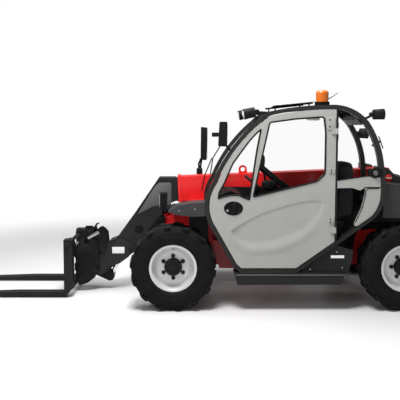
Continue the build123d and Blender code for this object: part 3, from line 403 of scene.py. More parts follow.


# the frame's red, with painted shade darkening it towards the ground
def chassis_paint():
    return finish("chassis_red", bpy.context.scene.telehandler_colours.red, 0.35, coat=0.15,
                  mottle=0.08, bump=0.1, bump_scale=700, gloss=0.25, wear=0.2, low_shade=0.6)


def door_paint():
    return toned("door_grey", rough=0.42, coat=0.12, mottle=0.03, bump=0.06, bump_scale=900,
                 gloss=0.4)


def dark_paint():
    return toned("dark", rough=0.42, mottle=0.08, bump=0.1, bump_scale=600, gloss=0.12, wear=0.3)


def panel_paint():
    return toned("panel", rough=0.4, mottle=0.06, bump=0.1, bump_scale=600, gloss=0.25)


def moulded_grey():
    return toned("cover", rough=0.45, mottle=0.06, bump=0.25, bump_scale=1500, gloss=0.16,
                 wear=0.4)


def rim_paint():
    return toned("rim", rough=0.34, metal=0.15, coat=0.2, mottle=0.04, bump=0.08,
                 bump_scale=800, gloss=0.5)


def black_paint():
    return finish("black_paint", (0.0085, 0.0085, 0.009), 0.4, mottle=0.1, bump=0.12,
                  bump_scale=500, gloss=0.1, wear=0.35)


def black_plastic():
    return finish("black_plastic", (0.009, 0.009, 0.0095), 0.5, mottle=0.1, bump=0.3,
                  bump_scale=1800, gloss=0.1)


def roof_black():
    return finish("roof_black", (0.009, 0.009, 0.0092), 0.88, mottle=0.15, bump=0.3,
                  bump_scale=1400, gloss=0.02)


def tyre_rubber():
    return finish("tyre_rubber", (0.007, 0.007, 0.0073), 0.8, mottle=0.25, grain=90, bump=0.3,
                  bump_scale=900, gloss=0.12, wear=0.4)


def seal_rubber():
    return finish("seal_rubber", (0.006, 0.006, 0.006), 0.6, mottle=0.1, bump=0.2,
                  bump_scale=1200, gloss=0.15)


def grille_black():
    return finish("grille_black", (0.006, 0.006, 0.006), 0.7, mottle=0.1, gloss=0.1)


def chrome():
    return finish("chrome", (0.78, 0.79, 0.8), 0.12, metal=1.0, mottle=0.03, grain=200)


def steel():
    return finish("steel", (0.4, 0.4, 0.41), 0.35, metal=0.9, mottle=0.1, grain=200, bump=0.1)


def cast_iron():
    return finish("cast_iron", (0.05, 0.05, 0.053), 0.6, metal=0.3, mottle=0.2, bump=0.5,
                  bump_scale=500, gloss=0.2)


def window_glass():
    return finish("window_glass", (0.03, 0.035, 0.035), 0.04, mottle=0.01, alpha=0.012, gloss=0.5)


def clear_lens():
    return finish("clear_lens", (0.8, 0.82, 0.84), 0.1, coat=0.5, mottle=0.05)


def mirror_glass():
    return finish("mirror_glass", (0.8, 0.82, 0.83), 0.05, metal=1.0, mottle=0.01)


def orange_lens():
    return finish("orange_lens", (0.6, 0.13, 0.004), 0.2, coat=0.3, mottle=0.05, glow=0.03)


def red_lens():
    return finish("red_lens", (0.55, 0.015, 0.015), 0.2, coat=0.5, mottle=0.05, glow=0.05)


def seat_cloth():
    return finish("seat_cloth", (0.016, 0.016, 0.018), 0.85, mottle=0.15, bump=0.5,
                  bump_scale=160, weave=True, gloss=0.15)


def label_white():
    return finish("label_white", (0.85, 0.85, 0.85), 0.4, mottle=0.02)


SLOTS = {  # the slot that goes with a finish
    orange_lens: "beacon_orange", moulded_grey: "cover_grey", door_paint: "door_grey",
    red_lens: "lamp_red", rim_paint: "rim_silver", steel: "rod_chrome", seat_cloth: "seat_fabric",
    black_paint: "trim_black", black_plastic: "trim_black", grille_black: "trim_black",
    seal_rubber: "trim_black", tyre_rubber: "tyre",
}
CAD_FINISHES = {
    chassis_paint: ["chassis_frame"],
    dark_paint: ["counterweight", "boom_inner", "cab_frame"],
    moulded_grey: ["rear_covers", "side_pod", "engine_hood", "nose_covers"],
    cast_iron: ["engine_block"],
    red_paint: ["boom_outer"],
    chrome: ["lift_rod", "tilt_rod", "front_steer_rod", "rear_steer_rod"],
    black_plastic: ["cab_shell", "door_handle", "seat_base", "dashboard", "steering_wheel",
                    "head_lamps", "work_lamps", "mirrors"],
    roof_black: ["cab_roof"],
    window_glass: ["cab_glazing", "door_glass"],
    door_paint: ["quarter_panel", "cab_door"],
    red_lens: ["tail_lamps"],
    black_paint: ["lift_barrel", "tilt_barrel", "hitch", "fork_carriage", "forks", "side_step",
                  "front_axle", "rear_axle",
                  *(f"{wheel}_knuckle" for wheel in WHEELS)],
}


# ---- sizes and colours that a user would change ----
def shade(name, about, colour):
    """A colour in the sidebar."""
    return FloatVectorProperty(name=name, description=about, default=colour, subtype="COLOR",
                               min=0, max=1)


def metres(name, about, value, least):
    """A length in the sidebar, in metres."""
    return FloatProperty(name=name, description=about, default=value, min=least, unit="LENGTH")


class TelehandlerColours(PropertyGroup):
    red: shade("Red paint", "Boom and chassis", (0.8, 0.016, 0.018))
    door_grey: shade("Door grey", "Door and corner panel", (0.335, 0.335, 0.318))
    dark: shade("Dark paint", "Cab frame, boom head and weight", (0.013, 0.013, 0.013))
    panel: shade("Panel grey", "Set-in panels of the boom head", (0.11, 0.11, 0.11))
    cover: shade("Cover grey", "Moulded covers and hood", (0.022, 0.022, 0.022))
    rim: shade("Rim silver", "Wheel rims", (0.6, 0.6, 0.6))


class TelehandlerSizes(PropertyGroup):
    lugs: IntProperty(name="Lugs a side", description="Tread lugs in each of a tyre's two rows",
                      default=14, min=6, max=30)
    tread_depth: metres("Tread depth", "Height of the tread's lugs", 0.014, 0.005)
    seal_radius: metres("Window seal", "Radius of the window seals", 0.008, 0.002)
    cushion_swell: metres("Cushion swell", "How far the padding crowns", 0.014, 0.0)
    lamp_height: metres("Lamp height", "Height of the stage's soft lamp", 5.5, 2.0)


# ---- wheels ----
TYRE_SIDE = [  # radius and inset from the tyre's widest, bead first
    (0.209, 0.037), (0.236, 0.036), (0.245, 0.022), (0.256, 0.014), (0.262, 0.008), (0.268, 0.011),
    (0.290, 0.003), (0.310, 0.001), (0.334, 0.001), (0.338, 0.003), (0.344, 0.003), (0.348, 0.001),
    (0.366, 0.006), (0.382, 0.016),
]
LUG_ALONG = [-0.10, -0.06, 0.12, 0.3, 0.5, 0.68, 0.82, 0.90, 0.96, 1.0, 1.0, 1.0]  # half widths
LUG_TOP = [-0.001, 1, 1, 1, 1, 0.98, 0.9, 0.7, 0.35, 0.0, -0.7, -1.4]  # tread depths up
LUG_INSET = [0.003, 0.003, 0.006]  # how far in the last three sections lie on the tyre's side
LUG_WIDTH = [-0.1, 0.3, 1.0], [0.020, 0.026, 0.032]  # half widths along, and a lug's half width
LUG_SECTION = [-1.0, -0.86, -0.74, 0.74, 0.86, 1.0], [0.0, 0.85, 1.0, 1.0, 0.85, 0.0]  # across, up
LUG_LEAN = 0.062  # how far a lug runs round the tyre to its shoulder
LUG_ROOT = 0.006  # how far it starts inside the carcass


def tyre_shell(centre, lugs, depth):
    """The carcass is a closed profile turned about the axle. Each lug is a six-point section
    carried from the middle of the tread over the shoulder and down the side: its angle grows
    with the way to the shoulder, and its top follows the tyre's radius, then the shoulder."""
    half = TYRE_WIDTH / 2
    base = TYRE_RADIUS - depth
    side = [(radius, half - inset) for radius, inset in TYRE_SIDE]
    side += [(base - 0.004, half - 0.030), (base, half - 0.055), (base + 0.001, half / 3)]
    profile = side + [(r, -y) for r, y in reversed(side)]
    shell = Shell().grid(lathe(profile, centre, turns=120), True, True)
    along = np.array(LUG_ALONG)
    top = np.array(LUG_TOP) * depth + base
    across = half * along
    across[-3:] = half - np.array(LUG_INSET)
    width = np.interp(along, *LUG_WIDTH)
    lean = LUG_LEAN * np.clip(along, 0, 1) ** 1.5
    low = np.minimum(top, base) - LUG_ROOT
    low[-2:] = top[-2:] - 0.004
    wide, high = np.array(LUG_SECTION)[:, None, :]
    radius = low[:, None] + (top - low)[:, None] * high
    turn = (lean[:, None] + width[:, None] * wide) / TYRE_RADIUS
    pitch = 2 * math.pi / lugs
    for row, offset in ((1, 0.0), (-1, pitch / 2)):
        y = np.broadcast_to(row * across[:, None], radius.shape)
        for start in np.arange(lugs) * pitch + offset:
            angle = start + turn
            lug = np.stack([radius * np.cos(angle), y, radius * np.sin(angle)], -1)
            shell.tube(lug + centre)
    return shell


class TELE_OT_tyres(Operator):
    """Four lugged tyres, each in the place of its plain solid"""

    bl_idname = "telehandler.tyres"
    bl_label = "Tyres"

    def execute(self, context):
        sizes = context.scene.telehandler_sizes
        for wheel in WHEELS:
            node = f"{wheel}_tyre"
            shell = tyre_shell(np.array(middle(node)), sizes.lugs, sizes.tread_depth)
            tyre = shell.piece(f"{wheel}_tread", tyre_rubber, f"{wheel}_wheel", crease=32)
            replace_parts(tyre, node)
        return {"FINISHED"}


RIM_PROFILE = [  # millimetres from the axle and towards the outer side
    (208.5, -112), (216, -116), (231.5, -117), (233.5, -121), (230, -125.5), (215, -125.5),
    (205, -119), (201, -98), (201, 0), (196, 20), (170, 27), (60, 27), (60, 41), (154, 41),
    (164, 40.5), (174, 36), (186, 33.5), (194, 38), (198.5, 50), (201, 72), (201, 103), (205, 115),
    (212, 122.5), (229, 125.5), (233, 121.5), (231, 117), (216, 115), (208.5, 108),
]
HUB_PROFILE = [
    (0, 40), (88, 40), (88, 48), (81, 52), (81, 88), (77, 94), (66, 96.5), (64, 94.5), (30, 94.5),
    (28, 98.5), (0, 98.5),
]
WASHER_PROFILE = [(0, -1), (21, -1), (21, 4), (0, 4)]
VALVE_PROFILE = [(0, 0), (5, 0), (5, 22), (3.5, 24), (3.5, 34), (0, 34)]
BOLT_CIRCLES = [  # radius, how many, size, height, seat, washer
    (0.110, 6, 0.0155, 0.024, 0.041, WASHER_PROFILE), (0.072, 12, 0.0055, 0.004, 0.0955, None),
]


def hub_shell(centre, out, turn):
    """The hub is a stepped profile turned about the axle, with nuts on washers round the disc
    and screws round its face."""
    shell = Shell().skin(turned(HUB_PROFILE, centre, out, 72))
    for radius, count, size, height, seat, washer in BOLT_CIRCLES:
        head = bolt(size, height, out)
        for angle in math.radians(turn) + np.arange(count) * 2 * math.pi / count:
            place = centre + [radius * math.cos(angle), out * seat, radius * math.sin(angle)]
            shell.skin(head + place)
            if washer:
                shell.skin(turned(washer, place, out, 20))
    return shell


class TELE_OT_rims(Operator):
    """Four pressed rims with their hubs, nuts and valves"""

    bl_idname = "telehandler.rims"
    bl_label = "Rims and hubs"

    def execute(self, context):
        for wheel in WHEELS:
            centre = np.array(middle(f"{wheel}_tyre"))
            out = -1 if "left" in wheel else 1
            body = f"{wheel}_wheel"
            rim = Shell().grid(turned(RIM_PROFILE, centre, out, 96), True, True)
            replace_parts(rim.piece(f"{wheel}_disc", rim_paint, body), f"{wheel}_rim")
            hub = hub_shell(centre, out, 90 if "front" in wheel else 0)
            hub.piece(f"{wheel}_hub", black_paint, body, "axle_black")
            valve = turned(VALVE_PROFILE, centre + [0.0, out * 0.036, 0.177], out, 12)
            Shell().skin(valve).piece(f"{wheel}_valve", seal_rubber, body, "tyre")
        return {"FINISHED"}


# ---- cab ----
MAIN_WINDOW = [
    (925, 1832), (772, 1120), (1382, 1272), (1456, 1345), (1456, 1740), (1438, 1884), (1180, 1866),
]
FRONT_WINDOW = [
    (445, 1165), (487, 1241), (574, 1442), (651, 1549), (733, 1660), (795, 1728), (842, 1770),
    (803, 1563), (757, 1241), (736, 1093), (678, 1114), (635, 1136), (556, 1136), (470, 1117),
    (436, 1102),
]
FIELD_EDGE = [
    (549, 793), (717, 895), (878, 977), (1066, 1035), (1227, 1076), (1375, 1095), (1442, 1072),
    (1454, 1011), (1425, 916), (1345, 807), (1232, 711), (1070, 636), (908, 599), (746, 599),
    (651, 643), (576, 725),
]
FIELD_FLOOR = [
    (577, 791), (732, 880), (886, 959), (1071, 1017), (1232, 1057), (1371, 1074), (1425, 1055),
    (1424, 1020), (1391, 975), (1307, 890), (1206, 812), (1059, 743), (907, 697), (759, 693),
    (677, 712), (609, 749),
]
FIELD_DEPTH = 0.014
FIELD_CORNER = 0.09
FIELD_SKIN = 0.0004  # how far the field's skin stands off the door
FIELD_SWELL = 0.017  # how steeply its low edge swells outwards
FIELD_UPPER = 0.4  # the share of depth that its upper part lacks


def smooth(way):
    """The smooth step, 3 w^2 - 2 w^3."""
    return way * way * (3 - 2 * way)


def seal(outline, y, radius):
    """A round rubber bead carried round a side-view outline."""
    angle = circle(10)
    section = np.stack([radius * np.cos(angle), y + 1.1 * radius * np.sin(angle)], -1)
    return Shell().grid(band(outline, section), True, True)


class TELE_OT_door(Operator):
    """The door's pressed field, window seals, handle, lock and hinge plates"""

    bl_idname = "telehandler.door"
    bl_label = "Door trim"

    def execute(self, context):
        radius = context.scene.telehandler_sizes.seal_radius
        for name, outline, corner in (("main", MAIN_WINDOW, 0.022), ("front", FRONT_WINDOW, 0.01)):
            ring = rounded(side_points(outline), corner)
            ring = ring + normals(ring) * 0.001
            seal(ring, CAB_Y + 0.001, radius).piece(f"door_{name}_seal", seal_rubber, "door")
        self.recess()
        self.handle()
        self.hinges()
        return {"FINISHED"}

    def hinges(self):
        """Hinge plates on the door's rear edge: soft-edged plates with two bolts each."""
        rows = [  # low and high corner of each plate, mm
            (1468, 1762, 1549, 1890), (1490, 1342, 1549, 1396), (1490, 862, 1549, 922),
        ]
        plates, bolts = Shell(), Shell()
        head = bolt(0.008, 0.005)
        for x0, z0, x1, z1 in rows:
            corners = [(x0, z0), (x1, z0), (x1, z1), (x0, z1)]
            plates.tube(sheet(corners, CAB_Y + 0.002, CAB_Y - 0.008, 0.003, 0.01))
            for way in (0.25, 0.75):
                bolts.skin(head + face_at(x0 + 24, CAB_Y - 0.007, z0 + (z1 - z0) * way))
        plates.piece("hinge_plates", door_paint, "door")
        bolts.piece("hinge_bolts", black_paint, "door")

    def recess(self):
        """The skin of the pressed field: rings between its edge and its floor, both rounded,
        whose depth is a smooth step of the way in and grows towards the low edge, which swells
        outwards a little before it fades into the door."""
        edge = rounded(side_points(FIELD_EDGE), FIELD_CORNER, steps=8)
        floor = rounded(side_points(FIELD_FLOOR), FIELD_CORNER, steps=8)
        lowest, highest = edge[:, 1].min(), edge[:, 1].max()
        drop = (highest - edge[:, 1]) / (highest - lowest)
        swell = np.clip(drop - 0.35, 0, 0.5) * FIELD_SWELL
        rows = [(edge + outward(edge) * reach, -FIELD_SKIN - swell * rise) for reach, rise in (
            (0.06, 0.0), (0.045, 0.12), (0.03, 0.45), (0.015, 0.85), (0.0, 1.0))]
        for way in np.linspace(0.125, 1, 8):
            step = smooth(way)
            rows.append((edge + (floor - edge) * way, (FIELD_DEPTH - FIELD_SKIN) * step
                         - FIELD_SKIN - swell * (1 - step)))
        for way in np.linspace(0.06, 0.99, 12):
            rows.append((floor + (floor.mean(0) - floor) * way, FIELD_DEPTH - 2 * FIELD_SKIN))
        points = np.stack([sideways(ring, CAB_Y + depth) for ring, depth in rows])
        fall = np.clip((highest - points[:, :, 2]) / (highest - lowest), 0, 1)
        sunk = np.maximum(points[:, :, 1] - CAB_Y, 0)
        points[:, :, 1] -= sunk * FIELD_UPPER * (1 - smooth(np.clip((fall - 0.3) / 0.5, 0, 1)))
        pan = Shell().skin(points)
        pan.cap(points[-1])
        pan.piece("door_field", door_paint, "door", crease=60)

    def handle(self):
        """A dished oval with a pull bar and a lock, turned and carried profiles."""
        low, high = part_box("door_handle")
        centre = np.array((low + high) / 2)
        size = np.array(high - low) / 2
        dish = lathe([(0.0, 0.016), (0.55, 0.015), (0.86, 0.006), (0.93, -0.0035), (0.97, -0.004),
                      (1.0, 0.0)], (0, 0, 0), turns=64)
        face = np.array([centre[0], CAB_Y, centre[2]])
        shell = Shell().skin(dish * [size[0], 1.0, size[2]] + face)
        bar = [face + [0.012, y, z] for y, z in (
            (0.008, 0.055), (-0.004, 0.046), (-0.008, 0.02), (-0.008, -0.02), (-0.004, -0.046),
            (0.008, -0.055))]
        shell.tube(pipe(bar, 0.011, up=(1, 0, 0))).piece("door_pull", black_plastic, "door")
        lock = turned([(0, -6), (11, -6), (13, -3), (13, 12), (0, 12)],
                      face - [0.058, 0, 0.02], turns=24)
        Shell().skin(lock).piece("door_lock", steel, "door")


def blank_label(name, low, high, y, thickness, body):
    """A thin white plate on the near side between two corners in millimetres."""
    corners = [low, (high[0], low[1]), high, (low[0], high[1])]
    rows = sheet(corners, y + 0.001, y + 0.001 - thickness, 0.0005, 0.004)
    Shell().tube(rows).piece(name, label_white, body)


class TELE_OT_cab(Operator):
    """The latch, wipers, aerial, rail, seals and label of the cab, and what stands in it"""

    bl_idname = "telehandler.cab"
    bl_label = "Cab trim"

    def execute(self, context):
        self.latch()
        self.rods()
        self.seals()
        self.inside()
        return {"FINISHED"}

    def latch(self):
        """A turned knob in a ring on the corner panel's upper edge, and its block on the hoop."""
        centre = face_at(1934, CAB_Y - 0.002, 1351)
        knob = turned([(0, -20), (26, -20), (31, -16), (33, -4), (46, -3), (50, 1), (50, 20),
                       (0, 20)], centre)
        block = sheet([(1872, 1318), (1866, 1392), (2004, 1396), (2016, 1310)],
                      CAB_Y + 0.03, CAB_Y - 0.003, 0.003)
        shell = Shell().skin(knob)
        shell.tube(block).piece("quarter_latch", black_plastic)
        button = turned([(0, -26), (18, -26), (23, -22), (24, -16), (0, -16)], centre, turns=32)
        Shell().skin(button).piece("latch_button", panel_paint)

    def rods(self):
        """Pipes: the arms and blades on the windscreen and the rear window, and the aerial."""
        wipers = Shell()
        for line, radius in (
                (route((286, -330, 1120), (318, -330, 1290), (388, -330, 1460),
                      (398, -420, 1470)), 0.006),
                (route((372, -420, 1300), (398, -420, 1470), (470, -420, 1590)), 0.006),
                (route((2074, -500, 1695), (2098, -500, 1640), (2122, -500, 1572)), 0.006),
                (route((2010, -500, 1600), (2074, -500, 1640), (2098, -500, 1640)), 0.012)):
            wipers.tube(pipe(line, radius))
        wipers.piece("wipers", black_plastic)
        rod = route((1545, -510, 2062), (1600, -510, 2096), (1655, -510, 2133))
        Shell().tube(pipe(rod, (0.006, 0.004, 0.003))).piece("aerial", black_plastic)

    def seals(self):
        """Black beads along the quarter panels' edges, the roof's near rail and the skirt's
        blank label."""
        shell = Shell()
        for corners in ([(1582, 1279), (1868, 1322), (1976, 1310)],
                        [(1755, 876), (1819, 1012), (1847, 1134), (1852, 1200), (1976, 1202)]):
            line = rounded(side_points(corners), 0.03, closed=False)
            shell.tube(pipe(sideways(line, CAB_Y + 0.004), 0.004))
        shell.piece("quarter_seals", seal_rubber)
        rail = np.linspace(at(962, -808, 1994), at(1366, -808, 2032), 8)
        Shell().tube(pipe(rail, 0.006)).piece("roof_rail", steel)
        blank_label("skirt_label", (1529, 523), (1658, 550), CAB_Y + 0.015, 0.0022, "chassis")

    def inside(self):
        """What stands in the cab: a lever with its boot and knob, an armrest and a headliner
        lamp, from pipes and rounded boxes."""
        shell = Shell()
        stem = route((960, -360, 1180), (935, -355, 1300), (905, -350, 1400))
        shell.tube(pipe(stem, (0.014, 0.011, 0.010)))
        shell.skin(pillow(at(915, -350, 1440), (0.055, 0.05, 0.125), 3.0, axis="z"))
        shell.skin(pillow(at(985, -400, 1190), (0.16, 0.12, 0.10), 3.5, axis="z"))
        shell.tube(pipe(np.linspace(at(880, -380, 1385), at(1210, -380, 1120), 4), 0.034))
        shell.skin(pillow(at(905, -350, 1375), (0.075, 0.05, 0.04), 3.5, axis="z"))
        shell.piece("cab_lever", black_plastic)
        lamp = pillow(at(1407, -500, 1867), (0.12, 0.16, 0.028), 5.0, axis="z")
        Shell().skin(lamp).piece("headliner_lamp", clear_lens)


def turned_along(profile, start, way, size):
    """Rings of a profile of (radius, distance) in millimetres turned about the line from start
    along way, which lies in the side view: radius times size, times the cosine and the sine in
    the two other directions."""
    angle = circle(40)[:, None]
    spokes = np.cos(angle) * np.cross(way, ACROSS) + np.sin(angle) * ACROSS
    return np.stack([start + way * d + r * size * spokes for r, d in np.array(profile) / 1000])


class TELE_OT_lamps(Operator):
    """Work lamps, head lamps, tail lamps and mirror glasses"""

    bl_idname = "telehandler.lamps"
    bl_label = "Lamps and mirrors"

    def execute(self, context):
        self.work_lamps()
        self.head_lamps()
        self.tail_lamps()
        self.mirrors()
        return {"FINISHED"}

    def work_lamps(self):
        """Each lamp is a cup turned about the line from its lens to its bracket, with a lens, a
        rim and a clamp."""
        near = CAB_Y * 1000 + 35
        rows = [  # y, lens x, z, back x, z, size
            (near, 677, 1909, 790, 1933, 1.0), (-210, 677, 1909, 790, 1933, 1.0),
            (near, 2014, 1912, 1910, 1908, 1.0), (-220, 2042, 1722, 1955, 1722, 1.08),
        ]
        cups, lenses, rims = Shell(), Shell(), Shell()
        for y, x0, z0, x1, z1, size in rows:
            start, back = at(x0, y, z0), at(x1, y, z1)
            depth = np.linalg.norm(back - start) * 1000
            line = start, (back - start) / depth * 1000, size
            cups.skin(turned_along([
                (0, 10), (44, 10), (47, 0), (50.5, 2), (50.5, 30), (49, 45), (48.5, depth - 20),
                (40, depth - 4), (18, depth), (0, depth)], *line))
            lenses.skin(turned_along([
                (0, -12), (20, -10.5), (36, -4), (42.5, 3), (42.5, 10.5), (0, 10.5)], *line))
            rims.skin(turned_along([
                (43.5, 12), (43.5, 4), (44, -1), (51.5, -1), (51.5, 12), (43.5, 12)], *line))
            cups.skin(pillow(back + line[1] * 0.012, (0.045, 0.05, 0.045)))
        cups.piece("lamp_cups", black_plastic)
        lenses.piece("lamp_lenses", clear_lens)
        rims.piece("lamp_rims", black_plastic)

    def head_lamps(self):
        """A rounded lens on the front of each lamp block."""
        lenses = Shell()
        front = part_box("head_lamps")[0].x + 0.001
        for y in (-0.35, 0.35):
            lenses.skin(pillow((front, y, 1.021), (0.010, 0.14, 0.14), 7.0, axis="x"))
        lenses.piece("head_lamp_lenses", clear_lens)

    def tail_lamps(self):
        """A clear strip and an amber strip on each tail lamp."""
        low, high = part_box("tail_lamps")
        clear, amber = Shell(), Shell()
        for y in (-0.725, 0.725):
            for shell, off in ((clear, -0.03), (amber, 0.03)):
                centre = (high.x, y, (low.z + high.z) / 2 + off)
                shell.skin(pillow(centre, (0.006, 0.11, 0.024), 8.0, axis="x"))
        clear.piece("reversing_lenses", clear_lens)
        amber.piece("turn_lenses", orange_lens)

    def mirrors(self):
        """Glass on the rear face of each mirror head, and the far mirror's bent arm."""
        glass = Shell()
        for y, x, z, width, height in ((-846, 522, 1722, 86, 210), (826, 367, 1584, 130, 370)):
            glass.skin(pillow(at(x, y, z), (0.004, width / 1000, height / 1000), 8.0, axis="x"))
        glass.piece("mirror_glasses", mirror_glass)
        arm = Shell().skin(pillow(at(272, 826, 1235), (0.075, 0.07, 0.1), 5.0, axis="z"))
        arm.tube(pipe(route((255, 826, 1090), (258, 826, 1180), (272, 826, 1240),
                           (262, 826, 1330), (290, 826, 1400)), 0.012))
        arm.piece("mirror_arm", black_plastic)


class TELE_OT_boom(Operator):
    """The boom head's set-in panels, band, plugs and blank label, and the hitch's pins"""

    bl_idname = "telehandler.boom"
    bl_label = "Boom trim"

    def execute(self, context):
        self.panels()
        self.pins()
        return {"FINISHED"}

    def panels(self):
        """Soft-edged plates in the head's pockets, a band and a blank label at its foot, and
        plugs in its holes."""
        pocket = [(-414, 838), (-239, 926), (-183, 935), (-42, 943), (-42, 1188), (-174, 1188),
                  (-218, 1151)]
        plates, plugs = Shell(), Shell()
        for side in (-1, 1):
            plates.tube(sheet(pocket, side * 0.0955, side * 0.0992, 0.0015, 0.02))
            plugs.skin(turned([(0, 0), (45, 0), (45, 6), (0, 6)], at(-394, side * 88, 673), side,
                              40))
        plates.piece("head_panels", panel_paint, "boom_inner")
        foot = [(-642, 556), (-596, 576), (-450, 504), (-474, 450), (-530, 490), (-688, 492)]
        Shell().tube(sheet(foot, -0.098, -0.1135, 0.001, 0.02)).piece(
            "head_band", moulded_grey, "boom_inner")
        plugs.piece("head_plugs", seal_rubber, "boom_inner")
        blank_label("head_label", (-690, 412), (-556, 482), -0.1125, 0.0017, "boom_inner")

    def pins(self):
        """Bright pins on the hitch, each a capped pipe."""
        shell = Shell()
        for start, end, radius in (
                ((-948, -137, 585), (-828, -137, 650), 0.019),
                ((-1098, -170, 478), (-1050, -170, 552), 0.010),
                ((-948, 137, 585), (-828, 137, 650), 0.019)):
            shell.tube(pipe(np.linspace(at(*start), at(*end), 4), radius, turns=24))
        shell.piece("hitch_pins", steel, "carriage")


class TELE_OT_trim(Operator):
    """Louvres, caps, a blank number plate, the sill's painted highlight and bolt heads"""

    bl_idname = "telehandler.trim"
    bl_label = "Small trim"

    def execute(self, context):
        self.louvres()
        self.caps()
        self.liners()
        self.number_plate()
        self.sill()
        return {"FINISHED"}

    def louvres(self):
        """Two groups of long rounded ribs on the hood's outer face, and its latches."""
        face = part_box("engine_hood")[1].y
        ribs, latches = Shell(), Shell()
        for x0 in (620, 1180):
            for step in range(7):
                ribs.skin(pillow(face_at(x0 + 190 + step * 8, face, 800 + step * 34),
                                 (0.38, 0.012, 0.018), axis="z"))
        for x in (760, 1480):
            latches.skin(pillow(face_at(x, face, 700), (0.11, 0.016, 0.045), 5.0, axis="z"))
        ribs.piece("hood_louvres", grille_black, "hood")
        latches.piece("hood_latches", black_plastic, "hood")

    def caps(self):
        """A ribbed fuel cap on the tank, turned."""
        centre = face_at(640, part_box("side_pod")[1].y - 0.001, 560)
        shell = Shell().skin(turned([(0, 22), (40, 22), (45, 17), (46, 0), (0, -2)], centre))
        for angle in circle(12):
            rib = centre + [0.045 * math.cos(angle), 0.009, 0.045 * math.sin(angle)]
            shell.skin(pillow(rib, (0.006, 0.016, 0.006)))
        shell.piece("fuel_cap", black_plastic)

    def liners(self):
        """Black sheets as painted shade, laid where the red frame lies in shade: a strip over the
        frame's plates along the top of each rear wheel arch and a flap outside the frame's heel.
        Also the red cap with a white stripe on the near cheek."""
        strip = [(1950, 655), (2085, 688), (2550, 688), (2550, 768), (1950, 768)]
        flap = [(1690, 395), (1850, 370), (1878, 470), (1884, 570), (1905, 644), (1935, 700),
                (1950, 775), (1690, 775)]
        shell = Shell()
        for side in (-1, 1):
            for outline, y in ((strip, 0.166), (flap, 0.336)):
                shell.tube(sheet(outline, side * y, side * (y + 0.005), 0.001, 0.02))
        # dark sheets painted over the red frame where it lies in shade
        shell.piece("arch_liners", black_plastic)
        centre = at(2203, -451, 1267)
        cap = turned([(0, -8), (30, -7), (36, -3), (37, 2), (0, 2)], centre, turns=40)
        Shell().skin(cap).piece("cheek_cap", red_lens)
        stripe = pillow(centre - [0, 0.008, 0], (0.058, 0.003, 0.010), 6.0)
        Shell().skin(stripe).piece("cheek_stripe", label_white)

    def number_plate(self):
        """A blank white plate in a black frame, on the counterweight's back."""
        centre = at(2686, 0, 975)
        border = pillow(centre, (0.008, 0.30, 0.15), 9.0, axis="x")
        Shell().skin(border).piece("plate_frame", black_plastic)
        plate = pillow(centre + [0.0035, 0, 0], (0.004, 0.27, 0.12), 12.0, axis="x")
        Shell().skin(plate).piece("number_plate", label_white)

    def sill(self):
        """A light grey bead along the sill's upper edge, painted as its highlight, and bolt heads
        on the near cover and skirt.
        """
        highlight_line = np.linspace(face_at(606, CAB_Y, 360), face_at(1658, CAB_Y, 360), 8)
        # a light grey bead that paints the highlight on the sill's edge
        Shell().tube(pipe(highlight_line, 0.005)).piece("sill_lip", panel_paint)
        bolts = Shell()
        head = bolt(0.007, 0.004)
        for y, places in ((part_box("nose_covers")[0].y, ((212, 1001), (60, 985))),
                          (CAB_Y + 0.015, ((1585, 585), (1640, 430), (1330, 415)))):
            for x, z in places:
                bolts.skin(head + face_at(x, y, z))
        bolts.piece("cover_bolts", steel)


class TELE_OT_beacon(Operator):
    """The ribbed amber lens: a profile whose top falls as the root of one less a power, turned
    about the upright, with every fourth column of its lower part drawn in"""

    bl_idname = "telehandler.beacon"
    bl_label = "Beacon"

    def execute(self, context):
        low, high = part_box("beacon")
        centre = (low + high) / 2
        level = np.linspace(0, 1, 25)
        dome = np.clip((level - 0.72) / 0.28, 0, 1) ** 2.6
        radius = (high.x - low.x) / 2 * np.where(level < 0.75, 0.96 + 0.04 * level, 1)
        profile = np.stack([radius * np.sqrt(1 - dome), level * (high.z - low.z)], -1)
        points = lathe(profile, (centre.x, centre.y, low.z), "z")
        grooves = 1 - 0.018 * (np.cos(np.arange(points.shape[1]) * 2 * math.pi / 4) > 0.5)
        axis = np.array(centre)[:2]
        ribbed = points[2:17, :, :2]
        ribbed[:] = axis + (ribbed - axis) * grooves[None, :, None]
        shell = Shell().skin(points)
        shell.cap(points[0])
        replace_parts(shell.piece("beacon_lens", orange_lens, crease=50), "beacon")
        return {"FINISHED"}


# ---- the seat ----
SEAT_CHANNELS = -0.12, 0.12  # sewn lines, off the seat's middle
CHANNEL_WIDTH = 0.007
CHANNEL_DEPTH = 0.045  # as a share of the way to the middle


def cushion_shell(node, swell, axis):
    """A rounded block: a superellipsoid of the node's own size, less the room that the padding
    swells into, pulled in along sewn channels by a narrow bell curve."""
    low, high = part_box(node)
    centre, size = np.array((low + high) / 2), np.array(high - low)
    points = pillow(centre, size - 0.8 * swell, power=7, rows=49, turns=96, axis=axis)
    for across in SEAT_CHANNELS:
        bell = np.exp(-((points[..., 1] - centre[1] - across) / CHANNEL_WIDTH) ** 2)
        points += (centre - points) * (bell * CHANNEL_DEPTH)[..., None]
    return Shell().skin(points)


class TELE_OT_seat(Operator):
    """The seat's two padded parts"""

    bl_idname = "telehandler.seat"
    bl_label = "Seat"

    def execute(self, context):
        swell = context.scene.telehandler_sizes.cushion_swell
        for node, axis in (("seat_cushion", "z"), ("seat_backrest", "x")):
            shell = cushion_shell(node, swell, axis)
            pad = shell.piece(f"{node}_pad", seat_cloth, crease=70)
            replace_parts(pad, node)
        return {"FINISHED"}


# ---- finishes on the CAD's own pieces ----
class TELE_OT_finishes(Operator):
    """Gives each piece of the frame its paint, plastic, rubber, glass or metal"""

    bl_idname = "telehandler.finishes"
    bl_label = "Finishes"

    def execute(self, context):
        for make, nodes in CAD_FINISHES.items():
            for node in nodes:
                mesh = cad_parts[node].data
                mesh.materials.clear()
                mesh.materials.append(make())
                mesh.polygons.foreach_set("material_index", [0] * len(mesh.polygons))
        return {"FINISHED"}


